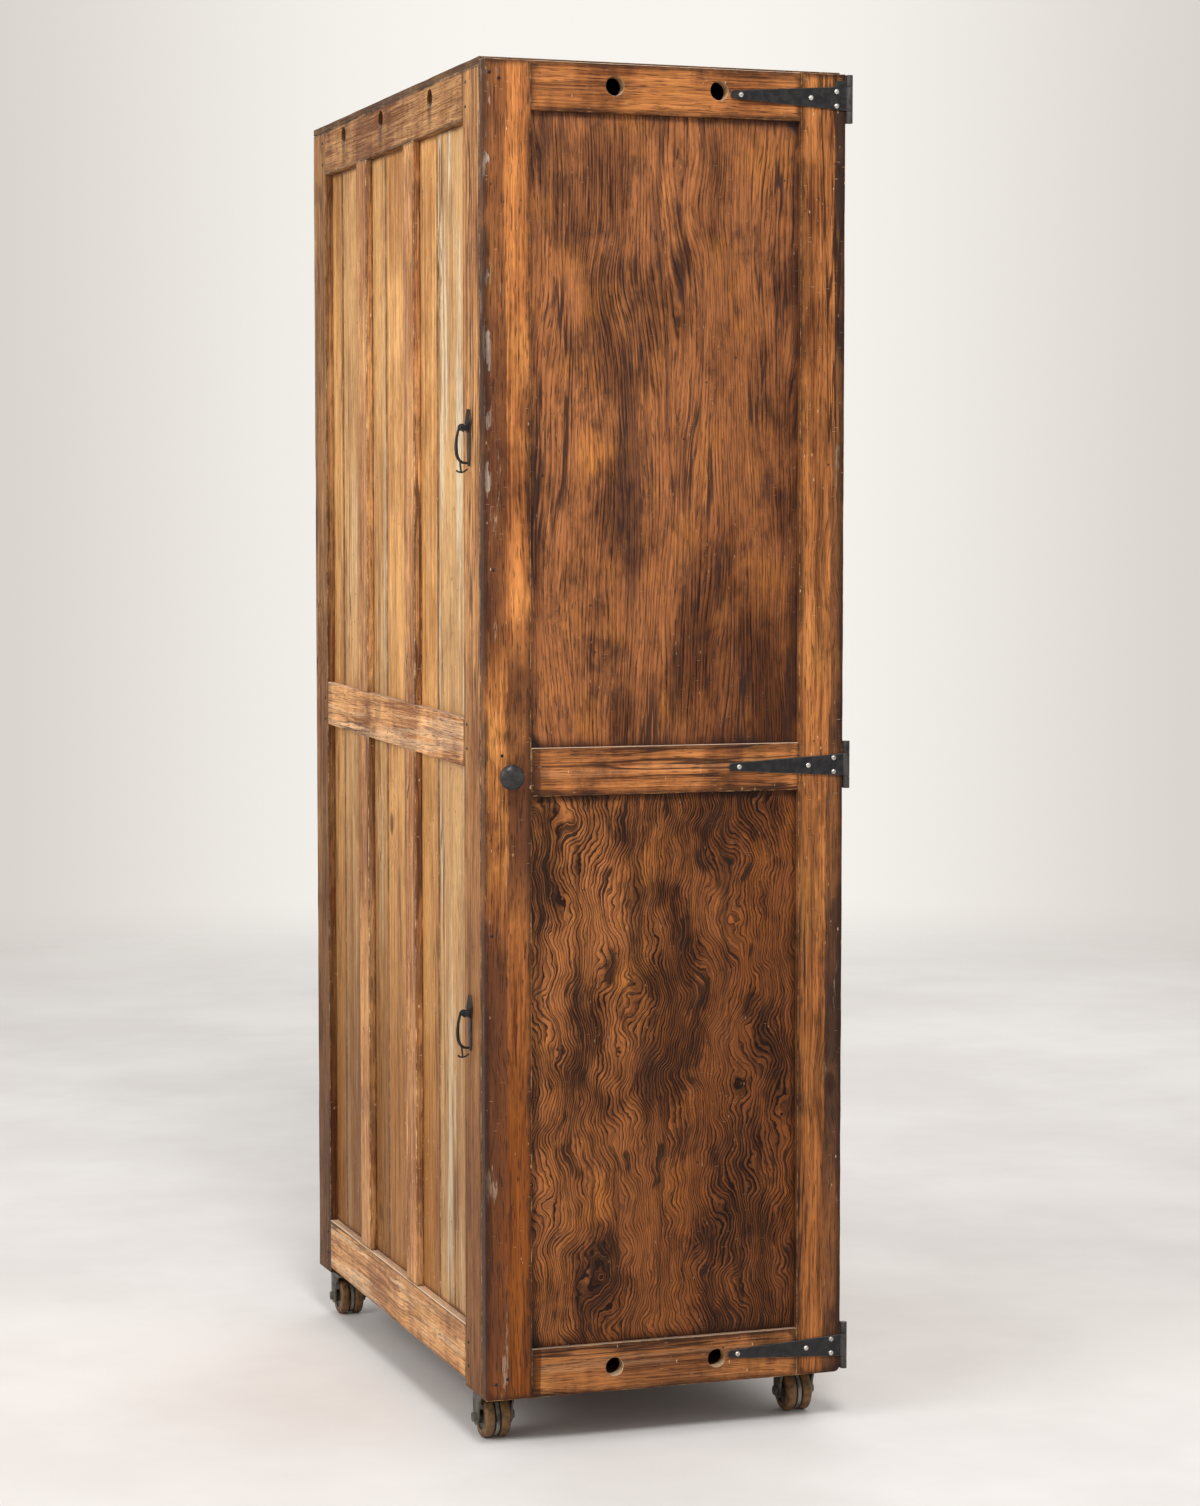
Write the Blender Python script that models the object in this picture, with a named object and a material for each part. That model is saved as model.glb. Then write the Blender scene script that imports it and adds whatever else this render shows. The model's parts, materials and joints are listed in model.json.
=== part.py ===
"""Printers type cabinet on casters: framed and boarded sides, one door on strap hinges, type cases inside.

Units are metres. The builder's axes: X runs across the front from left to right with 0 on the cabinet's
middle plane, Y runs from front to back with 0 on the front edges of the side frames, and Z runs up with 0 at
the bottom of the side stiles. The root empty then puts the origin on the floor, at the middle of the outline.
"""

import math

import bmesh
import bpy
from mathutils import Matrix, Vector

# Fits
FIT = 0.0003            # gap between two pieces that touch
RUNNING = 0.0005        # radial gap between a pin and its bore

# Carcass
BODY_WIDTH = 0.507
BODY_DEPTH = 0.873
STILE_HEIGHT = 1.755
SIDE_THICKNESS = 0.021
TOP_THICKNESS = 0.0097
BOTTOM_THICKNESS = 0.018
BACK_THICKNESS = 0.010
FRAME_PROUD = 0.0105    # how far rails and muntins stand in front of the boards

# Side frames; a share is a place along the clear depth between the stiles
SIDE_FRONT_STILE = 0.074
SIDE_REAR_STILE = 0.070
SIDE_TOP_RAIL = 0.065
SIDE_MID_RAIL = 0.065
SIDE_BOTTOM_RAIL = 0.075
SIDE_BOTTOM_RAISE = 0.0085      # the bottom rail stops short of the stiles' feet
SIDE_MID_RAIL_Z = 0.878         # middle rail's centre at half depth
LEFT_MID_RAIL_RISE = 0.017      # the left rail climbs by this much towards the back
RIGHT_MID_RAIL_RISE = 0.0
MUNTIN_WIDTH = 0.053
MUNTIN_SHARES = (("front", 0.365), ("rear", 0.712))
BOARD_JOINT_SHARES = (0.216, 0.578, 0.914)
BACK_BOARD_COUNT = 5
GROOVE_WIDTH = 0.004
GROOVE_DEPTH = 0.0025

# Vent holes
VENT_DIAMETER = 0.0255
SIDE_VENT_SHARES = (0.214, 0.561, 0.848)
SIDE_VENT_EDGE = 0.005          # wood left above a side vent
DOOR_VENT_SPACING = 0.146
DOOR_TOP_VENT_EDGE = 0.016      # wood left above and below the door's vents
DOOR_BOTTOM_VENT_EDGE = 0.020

# Door
DOOR_LAP = 0.005                # the door rises past the stiles to lap the top board
DOOR_THICKNESS = 0.019
DOOR_CLEARANCE = 0.001          # between the door and the front edges of the sides
DOOR_STILE = 0.064
DOOR_TOP_RAIL = 0.064
DOOR_MID_RAIL = 0.064
DOOR_BOTTOM_RAIL = 0.065
DOOR_MID_RAIL_Z = 0.834
PANEL_THICKNESS = 0.006
PANEL_LIP = 0.0045              # wood behind the panel's groove
PANEL_TONGUE = 0.007            # how far a panel reaches into its groove
PANEL_PLAY = 0.001              # left at the bottom of the groove

# Strap hinges
HINGE_TOP_DROP = 0.033          # below the door's top
HINGE_MIDDLE_RISE = 0.001       # above the door's middle rail
HINGE_BOTTOM_RAISE = 0.037      # above the door's foot
HINGE_PLATE = 0.0025
HINGE_PIN_RADIUS = 0.0024
BARREL_WALL = 0.0016
STRAP_LENGTH = 0.160            # from the door's edge to the tip's centre
STRAP_WIDE = 0.030
STRAP_TIP = 0.011
STRAP_EAR_HEIGHT = 0.009        # shoulder on the top strap, above its wide end
STRAP_EAR_WIDTH = 0.013
KNUCKLE_SPARE = 0.001           # strap's knuckle beyond the strap, at each end
END_KNUCKLE = 0.016             # side leaf's knuckle above and below it
LEAF_DEPTH = 0.046              # of the side leaf, behind the pin

# Knob and tongue
KNOB_CLEAR = 0.010              # from the side's inner face to the spindle's axis
KNOB_DROP = 0.004               # below the door's middle rail
KNOB_RADIUS = 0.017
KNOB_REACH = 0.029              # from the door's face to the crown
KNOB_CROWN = 0.0077
KNOB_RIM = 0.003
KNOB_UNDERCUT = 0.004
KNOB_NECK_RADIUS = 0.0088
KNOB_BASE_RADIUS = 0.0105
KNOB_BASE = 0.003
SPINDLE_RADIUS = 0.004
SPINDLE_INSIDE = 0.009          # how far the spindle reaches behind the sides' front edges
TONGUE_LENGTH = 0.016           # pivot to the centre of the round tip
TONGUE_RADIUS = 0.006
TONGUE_THICKNESS = 0.003
MORTISE_SPARE = 0.002

# Bail pulls on the left side
PULL_HEIGHTS = (("upper", 1.286), ("lower", 0.510))
PULL_INSET = 0.031              # from the front stile's rear edge
PULL_PLATE = 0.0025
PULL_WIDTH = 0.015
PULL_STEM = 0.0093
PULL_FOOT = 0.0045
PULL_TOP = 0.025                # pin to the spear's tip
PULL_SHOULDER = 0.0088          # pin to the spear's widest line
PULL_BOTTOM = 0.050             # pin to the plate's foot
EAR_THICKNESS = 0.0025
EAR_PLAY = 0.0017               # between an ear and the bail's eye
EAR_SPARE = 0.0027              # between the plate and the bail's eye
EAR_WALL = 0.0019
PULL_PIN_RADIUS = 0.0019
BAIL_RADIUS = 0.0017
BAIL_BOW = 0.0085               # how far the bow stands out beyond the pin
BAIL_FOOT_INSET = 0.004         # the bail's foot rests this far above the plate's foot
BAIL_BEND = 0.006
BAIL_EYE_GAP = 100.0            # degrees left open in the eye
BAIL_STEPS = 10

# Casters
CASTER_PLATE = 0.056
CASTER_PLATE_THICKNESS = 0.004
CASTER_SIDE_INSET = 0.035
CASTER_FRONT_INSET = 0.045
CASTER_REAR_INSET = 0.062
KINGPIN_RADIUS = 0.005
KINGPIN_HEAD = 0.0085
KINGPIN_HEAD_THICKNESS = 0.003
TRAIL = 0.018
CROWN_THICKNESS = 0.0045
CROWN_CLEAR = 0.0039            # between the crown and the wheel
FORK_WALL = 0.003
FORK_LEAD = 0.016               # crown's reach in front of the kingpin
FORK_EYE = 0.011
WHEEL_RADIUS = 0.0285
TREAD_WIDTH = 0.013
TREAD_ROUND = 0.003
CORE_WIDTH = 0.005
CORE_STEP = 0.002               # how far the core disc lies under the treads
CORE_SLOT = 0.002
CORE_SLOT_DEPTH = 0.0085
HUB_RADIUS = 0.009
HUB_PROUD = 0.0042              # hub's reach beyond the treads
AXLE_RADIUS = 0.004
BOLT_HEAD_RADIUS = 0.0065
BOLT_HEAD_THICKNESS = 0.004

# Runners and type cases
RUNNER_LEVELS = 12
FIRST_RUNNER_Z = 0.080
TOP_RUNNER_DROP = 0.190         # below the stiles' tops
RUNNER_HEIGHT = 0.014
RUNNER_REACH = 0.014
RACK_BACK = 0.018
RACK_CLEAR = 0.0077             # behind the latch's tongue
RACK_TOP_SPARE = 0.060
CASE_LEVELS = (0, 1, 3, 6, 8, 9)
CASE_SIDE_PLAY = 0.0032
CASE_SETBACK = 0.0124           # behind the front ends of the runners
CASE_HEIGHT = 0.040
CASE_WALL = 0.010
CASE_FLOOR = 0.006
CASE_BACK_GAP = 0.0008          # between a case that is pushed home and the back boards
CASE_PULL_WIDTH = 0.090
CASE_PULL_REACH = 0.010
CASE_PULL_HEIGHT = 0.014

# Facets of a full turn, and degrees for each facet of an arc
FINE_TURN = 32
COARSE_TURN = 16
ARC_STEP = 20.0

# Places worked out from the sizes above
HALF = BODY_WIDTH / 2
INNER_HALF = HALF - SIDE_THICKNESS
RAIL_FRONT = SIDE_FRONT_STILE + FIT
RAIL_REAR = BODY_DEPTH - SIDE_REAR_STILE - FIT
CLEAR_DEPTH = RAIL_REAR - RAIL_FRONT
SIDE_BOTTOM_RAIL_TOP = SIDE_BOTTOM_RAISE + SIDE_BOTTOM_RAIL
SIDE_TOP_RAIL_BOTTOM = STILE_HEIGHT - SIDE_TOP_RAIL
BACK_OUTER = BODY_DEPTH - FRAME_PROUD - FIT
BACK_INNER = BACK_OUTER - BACK_THICKNESS

DOOR_HEIGHT = STILE_HEIGHT + DOOR_LAP
DOOR_BACK = -DOOR_CLEARANCE
DOOR_FACE = DOOR_BACK - DOOR_THICKNESS
PANEL_FRONT = DOOR_BACK - PANEL_LIP - PANEL_THICKNESS
PANEL_GROOVE = PANEL_TONGUE + PANEL_PLAY

BARREL_RADIUS = HINGE_PIN_RADIUS + RUNNING + BARREL_WALL
KNUCKLE_HEIGHT = STRAP_WIDE + 2 * KNUCKLE_SPARE
LEAF_HEIGHT = KNUCKLE_HEIGHT + 2 * END_KNUCKLE
HINGE_X = HALF + FIT + BARREL_RADIUS
HINGE_Y = DOOR_FACE - FIT - HINGE_PLATE / 2
HINGE_HEIGHTS = (("top", DOOR_HEIGHT - HINGE_TOP_DROP), ("middle", DOOR_MID_RAIL_Z + HINGE_MIDDLE_RISE),
                 ("bottom", HINGE_BOTTOM_RAISE))

KNOB_X = -INNER_HALF + KNOB_CLEAR
KNOB_Z = DOOR_MID_RAIL_Z - KNOB_DROP
TONGUE_FRONT = SPINDLE_INSIDE + FIT
TONGUE_BACK = TONGUE_FRONT + TONGUE_THICKNESS

BAIL_EYE = PULL_PIN_RADIUS + RUNNING + BAIL_RADIUS
EAR_REACH = BAIL_EYE + BAIL_RADIUS + EAR_SPARE
EAR_RADIUS = PULL_PIN_RADIUS + EAR_WALL
EAR_INNER = BAIL_RADIUS + EAR_PLAY
PULL_Y = SIDE_FRONT_STILE - PULL_INSET
PULL_FACE = -HALF - FIT - PULL_PLATE
PULL_PIN_X = PULL_FACE - EAR_REACH
BAIL_DROP = PULL_BOTTOM - BAIL_FOOT_INSET

PLATE_BOTTOM = -FIT - CASTER_PLATE_THICKNESS
CROWN_TOP = PLATE_BOTTOM - FIT
CROWN_BOTTOM = CROWN_TOP - CROWN_THICKNESS
AXLE_Z = CROWN_BOTTOM - CROWN_CLEAR - WHEEL_RADIUS
FLOOR_Z = AXLE_Z - WHEEL_RADIUS
TREAD_INNER = CORE_WIDTH / 2 + CORE_SLOT
TREAD_OUTER = TREAD_INNER + TREAD_WIDTH
HUB_END = TREAD_OUTER + HUB_PROUD
FORK_HALF = HUB_END + FIT + FORK_WALL

RUNNER_PITCH = (STILE_HEIGHT - TOP_RUNNER_DROP - FIRST_RUNNER_Z) / (RUNNER_LEVELS - 1)
RACK_FRONT = TONGUE_BACK + RACK_CLEAR
RACK_FACE = INNER_HALF - FIT - RACK_BACK
CASE_HALF = RACK_FACE - CASE_SIDE_PLAY
CASE_FRONT = RACK_FRONT + CASE_SETBACK
CASE_BACK = BACK_INNER - CASE_BACK_GAP

# The outline's reach, which fixes the origin
REACH_LEFT = PULL_PIN_X - BAIL_BOW - BAIL_RADIUS
REACH_RIGHT = HINGE_X + BARREL_RADIUS
REACH_FRONT = DOOR_FACE - KNOB_REACH
ORIGIN = Vector(((REACH_LEFT + REACH_RIGHT) / 2, (REACH_FRONT + BODY_DEPTH) / 2, FLOOR_Z))


def clear_scene():
    for old in list(bpy.data.objects):
        bpy.data.objects.remove(old, do_unlink=True)


# Materials
def finish(name, colour, roughness, metallic=0.0):
    made = bpy.data.materials.new(name)
    made.use_nodes = True
    shader = made.node_tree.nodes["Principled BSDF"]
    shader.inputs["Base Color"].default_value = (*colour, 1.0)
    shader.inputs["Roughness"].default_value = roughness
    shader.inputs["Metallic"].default_value = metallic
    return made


def make_finishes():
    return {
        "frame_wood": finish("frame_wood", (0.29, 0.12, 0.045), 0.5),
        "side_boards": finish("side_boards", (0.45, 0.25, 0.10), 0.55),
        "door_wood": finish("door_wood", (0.30, 0.12, 0.04), 0.45),
        "door_panel": finish("door_panel", (0.14, 0.05, 0.02), 0.4),
        "inside_wood": finish("inside_wood", (0.40, 0.26, 0.14), 0.65),
        "black_iron": finish("black_iron", (0.025, 0.025, 0.025), 0.5, 0.8),
        "knob_black": finish("knob_black", (0.02, 0.018, 0.017), 0.45),
        "caster_iron": finish("caster_iron", (0.10, 0.10, 0.085), 0.55, 0.7),
        "wheel_fibre": finish("wheel_fibre", (0.32, 0.19, 0.08), 0.6),
    }


# Placing
def pivot(name, place, parent):
    """An empty on a joint's axis, in the builder's axes."""
    empty = bpy.data.objects.new(name, None)
    bpy.context.collection.objects.link(empty)
    empty.parent = parent
    empty.location = Vector(place) - Vector(parent["at"])
    empty["at"] = tuple(place)
    return empty


def place_mesh(name, mesh, material, parent):
    """Shows a mesh whose points are measured from its parent empty."""
    mesh.name = name
    mesh.materials.append(material)
    shown = bpy.data.objects.new(name, mesh)
    bpy.context.collection.objects.link(shown)
    shown.parent = parent
    return shown


def to_mesh(bm, parent):
    """Turns a shape in the builder's axes into a mesh that is measured from its parent empty."""
    bmesh.ops.translate(bm, verts=bm.verts, vec=-Vector(parent["at"]))
    bmesh.ops.recalc_face_normals(bm, faces=bm.faces)
    mesh = bpy.data.meshes.new("solid")
    bm.to_mesh(mesh)
    bm.free()
    return mesh


def smooth(mesh, angle=30.0):
    mesh.shade_smooth()
    mesh.set_sharp_from_angle(angle=math.radians(angle))


def show(name, bm, material, parent):
    return place_mesh(name, to_mesh(bm, parent), material, parent)


# Shapes
def block(low, high):
    """A rectangular block between two corners."""
    bm = bmesh.new()
    bmesh.ops.create_cube(bm, size=1.0)
    low, high = Vector(low), Vector(high)
    bmesh.ops.scale(bm, vec=high - low, verts=bm.verts)
    bmesh.ops.translate(bm, vec=(low + high) / 2, verts=bm.verts)
    return bm


def prism(outline, axis, start, end):
    """An outline pushed along X, Y or Z; its two numbers are the other two axes in X, Y, Z order."""
    bm = bmesh.new()
    points = []
    for first, second in outline:
        point = [first, second]
        point.insert("XYZ".index(axis), start)
        points.append(bm.verts.new(point))
    face = bm.faces.new(points)
    pushed = bmesh.ops.extrude_face_region(bm, geom=[face])
    moved = [item for item in pushed["geom"] if isinstance(item, bmesh.types.BMVert)]
    step = Vector([end - start if letter == axis else 0.0 for letter in "XYZ"])
    bmesh.ops.translate(bm, verts=moved, vec=step)
    bmesh.ops.recalc_face_normals(bm, faces=bm.faces)
    return bm


def turned(profile, axis, centre, facets=FINE_TURN, ring=False):
    """A profile of (distance along the axis, radius) turned about an axis; a ring's profile is closed."""
    bm = bmesh.new()
    points = [bm.verts.new((radius, 0.0, along)) for along, radius in profile]
    pairs = list(zip(points, points[1:]))
    if ring:
        pairs.append((points[-1], points[0]))
    edges = [bm.edges.new(pair) for pair in pairs]
    bmesh.ops.spin(bm, geom=points + edges, cent=(0, 0, 0), axis=(0, 0, 1), angle=2 * math.pi, steps=facets,
                   use_merge=True)
    bmesh.ops.remove_doubles(bm, verts=bm.verts, dist=1e-6)
    turn = {"X": Matrix.Rotation(math.pi / 2, 3, "Y"), "Y": Matrix.Rotation(-math.pi / 2, 3, "X"),
            "Z": Matrix.Identity(3)}[axis]
    bmesh.ops.rotate(bm, cent=(0, 0, 0), matrix=turn, verts=bm.verts)
    bmesh.ops.translate(bm, vec=centre, verts=bm.verts)
    bmesh.ops.recalc_face_normals(bm, faces=bm.faces)
    return bm


def rod(axis, centre, start, end, radius, facets=COARSE_TURN):
    """A plain round bar from start to end along an axis through a centre."""
    return turned([(start, 0.0), (start, radius), (end, radius), (end, 0.0)], axis, centre, facets)


def arc(centre, radius, first, last):
    """Points on an arc, with its angles in degrees."""
    points = []
    steps = round(abs(last - first) / ARC_STEP)
    for step in range(steps + 1):
        angle = math.radians(first + (last - first) * step / steps)
        points.append((centre[0] + radius * math.cos(angle), centre[1] + radius * math.sin(angle)))
    return points


def combined(base, kept=(), added=(), removed=()):
    """One shape from a base, the shapes it is trimmed to, those joined to it and those cut out of it."""
    helpers = []

    def helper(bm):
        mesh = bpy.data.meshes.new("helper")
        bm.to_mesh(mesh)
        bm.free()
        made = bpy.data.objects.new("helper", mesh)
        bpy.context.collection.objects.link(made)
        helpers.append(made)
        return made

    body = helper(base)
    for shapes, operation in ((kept, "INTERSECT"), (added, "UNION"), (removed, "DIFFERENCE")):
        for shape in shapes:
            step = body.modifiers.new(operation.lower(), "BOOLEAN")
            step.operation = operation
            step.object = helper(shape)
    result = bmesh.new()
    result.from_object(body, bpy.context.evaluated_depsgraph_get())
    for made in helpers:
        mesh = made.data
        bpy.data.objects.remove(made, do_unlink=True)
        bpy.data.meshes.remove(mesh)
    return result


# Side frames
def sloped_bar(x_range, y_range, centre_z, half_height, rise):
    """A bar along Y whose middle climbs by rise over the clear depth between the stiles."""
    low = (x_range[0], y_range[0], centre_z - half_height)
    high = (x_range[1], y_range[1], centre_z + half_height)
    bm = block(low, high)
    middle = (RAIL_FRONT + RAIL_REAR) / 2
    for vert in bm.verts:
        vert.co.z += rise * (vert.co.y - middle) / CLEAR_DEPTH
    return bm


def along_side(share):
    """The Y of a place along the clear depth between the stiles."""
    return RAIL_FRONT + share * CLEAR_DEPTH


def grooved_outline(across, depth, joints, outward):
    """Section of joined boards: a strip with a V groove at each joint of its outer face."""
    outer, inner = depth
    points = [(across[0], outer)]
    for joint in joints:
        points.append((joint - GROOVE_WIDTH / 2, outer))
        points.append((joint, outer - outward * GROOVE_DEPTH))
        points.append((joint + GROOVE_WIDTH / 2, outer))
    points.append((across[1], outer))
    points.append((across[1], inner))
    points.append((across[0], inner))
    return points


def build_side(side, outward, rise, finishes, root):
    """The frame and boards of one side; outward is -1 on the left and 1 on the right."""
    wood = finishes["frame_wood"]
    outer = outward * HALF
    inner = outward * INNER_HALF
    proud = outward * (HALF - FRAME_PROUD)
    halving = outward * (HALF - FRAME_PROUD / 2)
    low_x, high_x = sorted((outer, inner))

    front_stile = block((low_x, 0.0, 0.0), (high_x, SIDE_FRONT_STILE, STILE_HEIGHT))
    if side == "left":
        front_stile = combined(front_stile, removed=[tongue_mortise()])
    show(f"{side}_front_stile", front_stile, wood, root)
    rear_stile = block((low_x, BODY_DEPTH - SIDE_REAR_STILE, 0.0), (high_x, BODY_DEPTH, STILE_HEIGHT))
    show(f"{side}_rear_stile", rear_stile, wood, root)

    top_rail = block((low_x, RAIL_FRONT, SIDE_TOP_RAIL_BOTTOM), (high_x, RAIL_REAR, STILE_HEIGHT))
    vent_z = STILE_HEIGHT - SIDE_VENT_EDGE - VENT_DIAMETER / 2
    vents = [rod("X", (0.0, along_side(share), vent_z), low_x - SIDE_THICKNESS, high_x + SIDE_THICKNESS,
                 VENT_DIAMETER / 2, FINE_TURN) for share in SIDE_VENT_SHARES]
    show(f"{side}_top_rail", combined(top_rail, removed=vents), wood, root)
    bottom_rail = block((low_x, RAIL_FRONT, SIDE_BOTTOM_RAISE), (high_x, RAIL_REAR, SIDE_BOTTOM_RAIL_TOP))
    show(f"{side}_bottom_rail", bottom_rail, wood, root)

    bay_low = SIDE_BOTTOM_RAIL_TOP + FIT
    bay_high = SIDE_TOP_RAIL_BOTTOM - FIT
    board_outer = proud - outward * FIT
    joints = [along_side(share) for share in BOARD_JOINT_SHARES]
    outline = grooved_outline((RAIL_FRONT, RAIL_REAR), (board_outer, inner), joints, outward)
    section = [(x, y) for y, x in outline]
    show(f"{side}_boards", prism(section, "Z", bay_low, bay_high), finishes["side_boards"], root)

    half_rail = SIDE_MID_RAIL / 2
    rail_x = sorted((outer, proud))
    rail = sloped_bar(rail_x, (RAIL_FRONT, RAIL_REAR), SIDE_MID_RAIL_Z, half_rail, rise)
    notches = []
    for place, share in MUNTIN_SHARES:
        low_y = along_side(share) - MUNTIN_WIDTH / 2
        high_y = low_y + MUNTIN_WIDTH
        muntin = block((rail_x[0], low_y, bay_low), (rail_x[1], high_y, bay_high))
        crossing = sorted((outer + outward * FRAME_PROUD, halving - outward * FIT))
        seat = sloped_bar(crossing, (low_y - MUNTIN_WIDTH, high_y + MUNTIN_WIDTH), SIDE_MID_RAIL_Z,
                          half_rail + FIT, rise)
        show(f"{side}_{place}_muntin", combined(muntin, removed=[seat]), wood, root)
        notch_x = sorted((halving, proud - outward * FRAME_PROUD))
        notches.append(sloped_bar(notch_x, (low_y - FIT, high_y + FIT), SIDE_MID_RAIL_Z, SIDE_MID_RAIL, rise))
    show(f"{side}_mid_rail", combined(rail, removed=notches), wood, root)


def tongue_mortise():
    """The slot in the left front stile that the door's tongue turns into."""
    tip = TONGUE_LENGTH + TONGUE_RADIUS + MORTISE_SPARE
    low = (KNOB_X - tip, TONGUE_FRONT - MORTISE_SPARE, KNOB_Z - tip)
    high = (KNOB_X, TONGUE_BACK + MORTISE_SPARE, KNOB_Z + TONGUE_RADIUS + MORTISE_SPARE)
    return block(low, high)


# Back, top and bottom
def build_shell(finishes, root):
    wood = finishes["frame_wood"]
    reach = INNER_HALF - FIT
    width = 2 * reach
    joints = [-reach + width * count / BACK_BOARD_COUNT for count in range(1, BACK_BOARD_COUNT)]
    section = grooved_outline((-reach, reach), (BACK_OUTER, BACK_INNER), joints, 1.0)
    show("back_boards", prism(section, "Z", 0.0, STILE_HEIGHT), finishes["side_boards"], root)
    rail_low = SIDE_MID_RAIL_Z - SIDE_MID_RAIL / 2
    back_rail = block((-reach, BACK_OUTER + FIT, rail_low), (reach, BODY_DEPTH, rail_low + SIDE_MID_RAIL))
    show("back_mid_rail", back_rail, wood, root)
    top_low = STILE_HEIGHT + FIT
    show("top_board", block((-HALF, 0.0, top_low), (HALF, BODY_DEPTH, top_low + TOP_THICKNESS)), wood, root)
    floor = block((-reach, 0.0, 0.0), (reach, BACK_INNER - FIT, BOTTOM_THICKNESS))
    show("bottom_board", floor, finishes["inside_wood"], root)


# Door
def grooved_bar(edge_low, edge_high, groove_low, groove_high):
    """Section of a door bar, as (edge, depth), with a panel groove in either edge or in both."""
    front = PANEL_FRONT - FIT
    back = PANEL_FRONT + PANEL_THICKNESS + FIT
    points = [(edge_low, DOOR_FACE), (edge_high, DOOR_FACE)]
    if groove_high:
        inside = edge_high - PANEL_GROOVE
        points += [(edge_high, front), (inside, front), (inside, back), (edge_high, back)]
    points += [(edge_high, DOOR_BACK), (edge_low, DOOR_BACK)]
    if groove_low:
        inside = edge_low + PANEL_GROOVE
        points += [(edge_low, back), (inside, back), (inside, front), (edge_low, front)]
    return points


def build_door(finishes, swing):
    wood = finishes["door_wood"]
    opening = HALF - DOOR_STILE
    left = prism(grooved_bar(-HALF, -opening, False, True), "Z", 0.0, DOOR_HEIGHT)
    spindle_bore = rod("Y", (KNOB_X, 0.0, KNOB_Z), DOOR_FACE - DOOR_THICKNESS, DOOR_THICKNESS,
                       SPINDLE_RADIUS + RUNNING)
    show("door_left_stile", combined(left, removed=[spindle_bore]), wood, swing)
    right = prism(grooved_bar(opening, HALF, True, False), "Z", 0.0, DOOR_HEIGHT)
    show("door_right_stile", right, wood, swing)

    vent_radius = VENT_DIAMETER / 2
    top_vent_z = DOOR_HEIGHT - DOOR_TOP_VENT_EDGE - vent_radius
    bottom_vent_z = DOOR_BOTTOM_VENT_EDGE + vent_radius
    bars = {
        "top": (DOOR_HEIGHT - DOOR_TOP_RAIL, DOOR_HEIGHT, True, False, top_vent_z),
        "mid": (DOOR_MID_RAIL_Z - DOOR_MID_RAIL / 2, DOOR_MID_RAIL_Z + DOOR_MID_RAIL / 2, True, True, None),
        "bottom": (0.0, DOOR_BOTTOM_RAIL, False, True, bottom_vent_z),
    }
    for place, (low, high, groove_low, groove_high, vent_z) in bars.items():
        section = [(depth, edge) for edge, depth in grooved_bar(low, high, groove_low, groove_high)]
        bar = prism(section, "X", -opening + FIT, opening - FIT)
        if vent_z:
            vents = []
            for x in (-DOOR_VENT_SPACING / 2, DOOR_VENT_SPACING / 2):
                vents.append(rod("Y", (x, 0.0, vent_z), DOOR_FACE - DOOR_THICKNESS, DOOR_THICKNESS, vent_radius,
                                 FINE_TURN))
            bar = combined(bar, removed=vents)
        show(f"door_{place}_rail", bar, wood, swing)

    panel_half = opening + PANEL_TONGUE
    panels = {"upper": (bars["mid"][1], bars["top"][0]), "lower": (bars["bottom"][1], bars["mid"][0])}
    for place, (low, high) in panels.items():
        panel = block((-panel_half, PANEL_FRONT, low - PANEL_TONGUE),
                      (panel_half, PANEL_FRONT + PANEL_THICKNESS, high + PANEL_TONGUE))
        show(f"door_{place}_panel", panel, finishes["door_panel"], swing)


# Hinges
def strap_leaf(centre_z, eared):
    """The tapered strap on the door's face, with its knuckle round the pin and an ear if it has one."""
    wide_end = HINGE_X - BARREL_RADIUS + BARREL_WALL / 2
    top = centre_z + STRAP_WIDE / 2
    tip = (HALF - STRAP_LENGTH, centre_z)
    outline = [(wide_end, top)]
    if eared:
        foot = HALF - STRAP_EAR_WIDTH - STRAP_EAR_HEIGHT
        sweep = arc((foot, top + STRAP_EAR_HEIGHT), STRAP_EAR_HEIGHT, 0.0, -90.0)
        outline += [(HALF, top), (HALF, top + STRAP_EAR_HEIGHT)] + sweep
    outline += arc(tip, STRAP_TIP / 2, 90.0, 270.0)
    outline.append((wide_end, centre_z - STRAP_WIDE / 2))
    plate = prism(outline, "Y", DOOR_FACE - FIT - HINGE_PLATE, DOOR_FACE - FIT)
    half = KNUCKLE_HEIGHT / 2
    bore = HINGE_PIN_RADIUS + RUNNING
    knuckle = turned([(-half, bore), (-half, BARREL_RADIUS), (half, BARREL_RADIUS), (half, bore)], "Z",
                     (HINGE_X, HINGE_Y, centre_z), COARSE_TURN, ring=True)
    return combined(plate, added=[knuckle])


def side_leaf(centre_z):
    """The leaf on the cabinet's side, with its two end knuckles and the pin between them."""
    knuckle = KNUCKLE_HEIGHT / 2 + FIT
    half = LEAF_HEIGHT / 2
    clear = HINGE_Y + BARREL_RADIUS + RUNNING
    back = HINGE_Y + LEAF_DEPTH
    outline = [(HINGE_Y, -half), (back, -half), (back, half), (HINGE_Y, half),
               (HINGE_Y, knuckle), (clear, knuckle), (clear, -knuckle), (HINGE_Y, -knuckle)]
    plate = prism([(y, centre_z + z) for y, z in outline], "X", HALF + FIT, HALF + FIT + HINGE_PLATE)
    profile = [(-half, 0.0), (-half, BARREL_RADIUS), (-knuckle, BARREL_RADIUS), (-knuckle, HINGE_PIN_RADIUS),
               (knuckle, HINGE_PIN_RADIUS), (knuckle, BARREL_RADIUS), (half, BARREL_RADIUS), (half, 0.0)]
    barrel = turned(profile, "Z", (HINGE_X, HINGE_Y, centre_z), COARSE_TURN)
    return combined(plate, added=[barrel])


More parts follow.
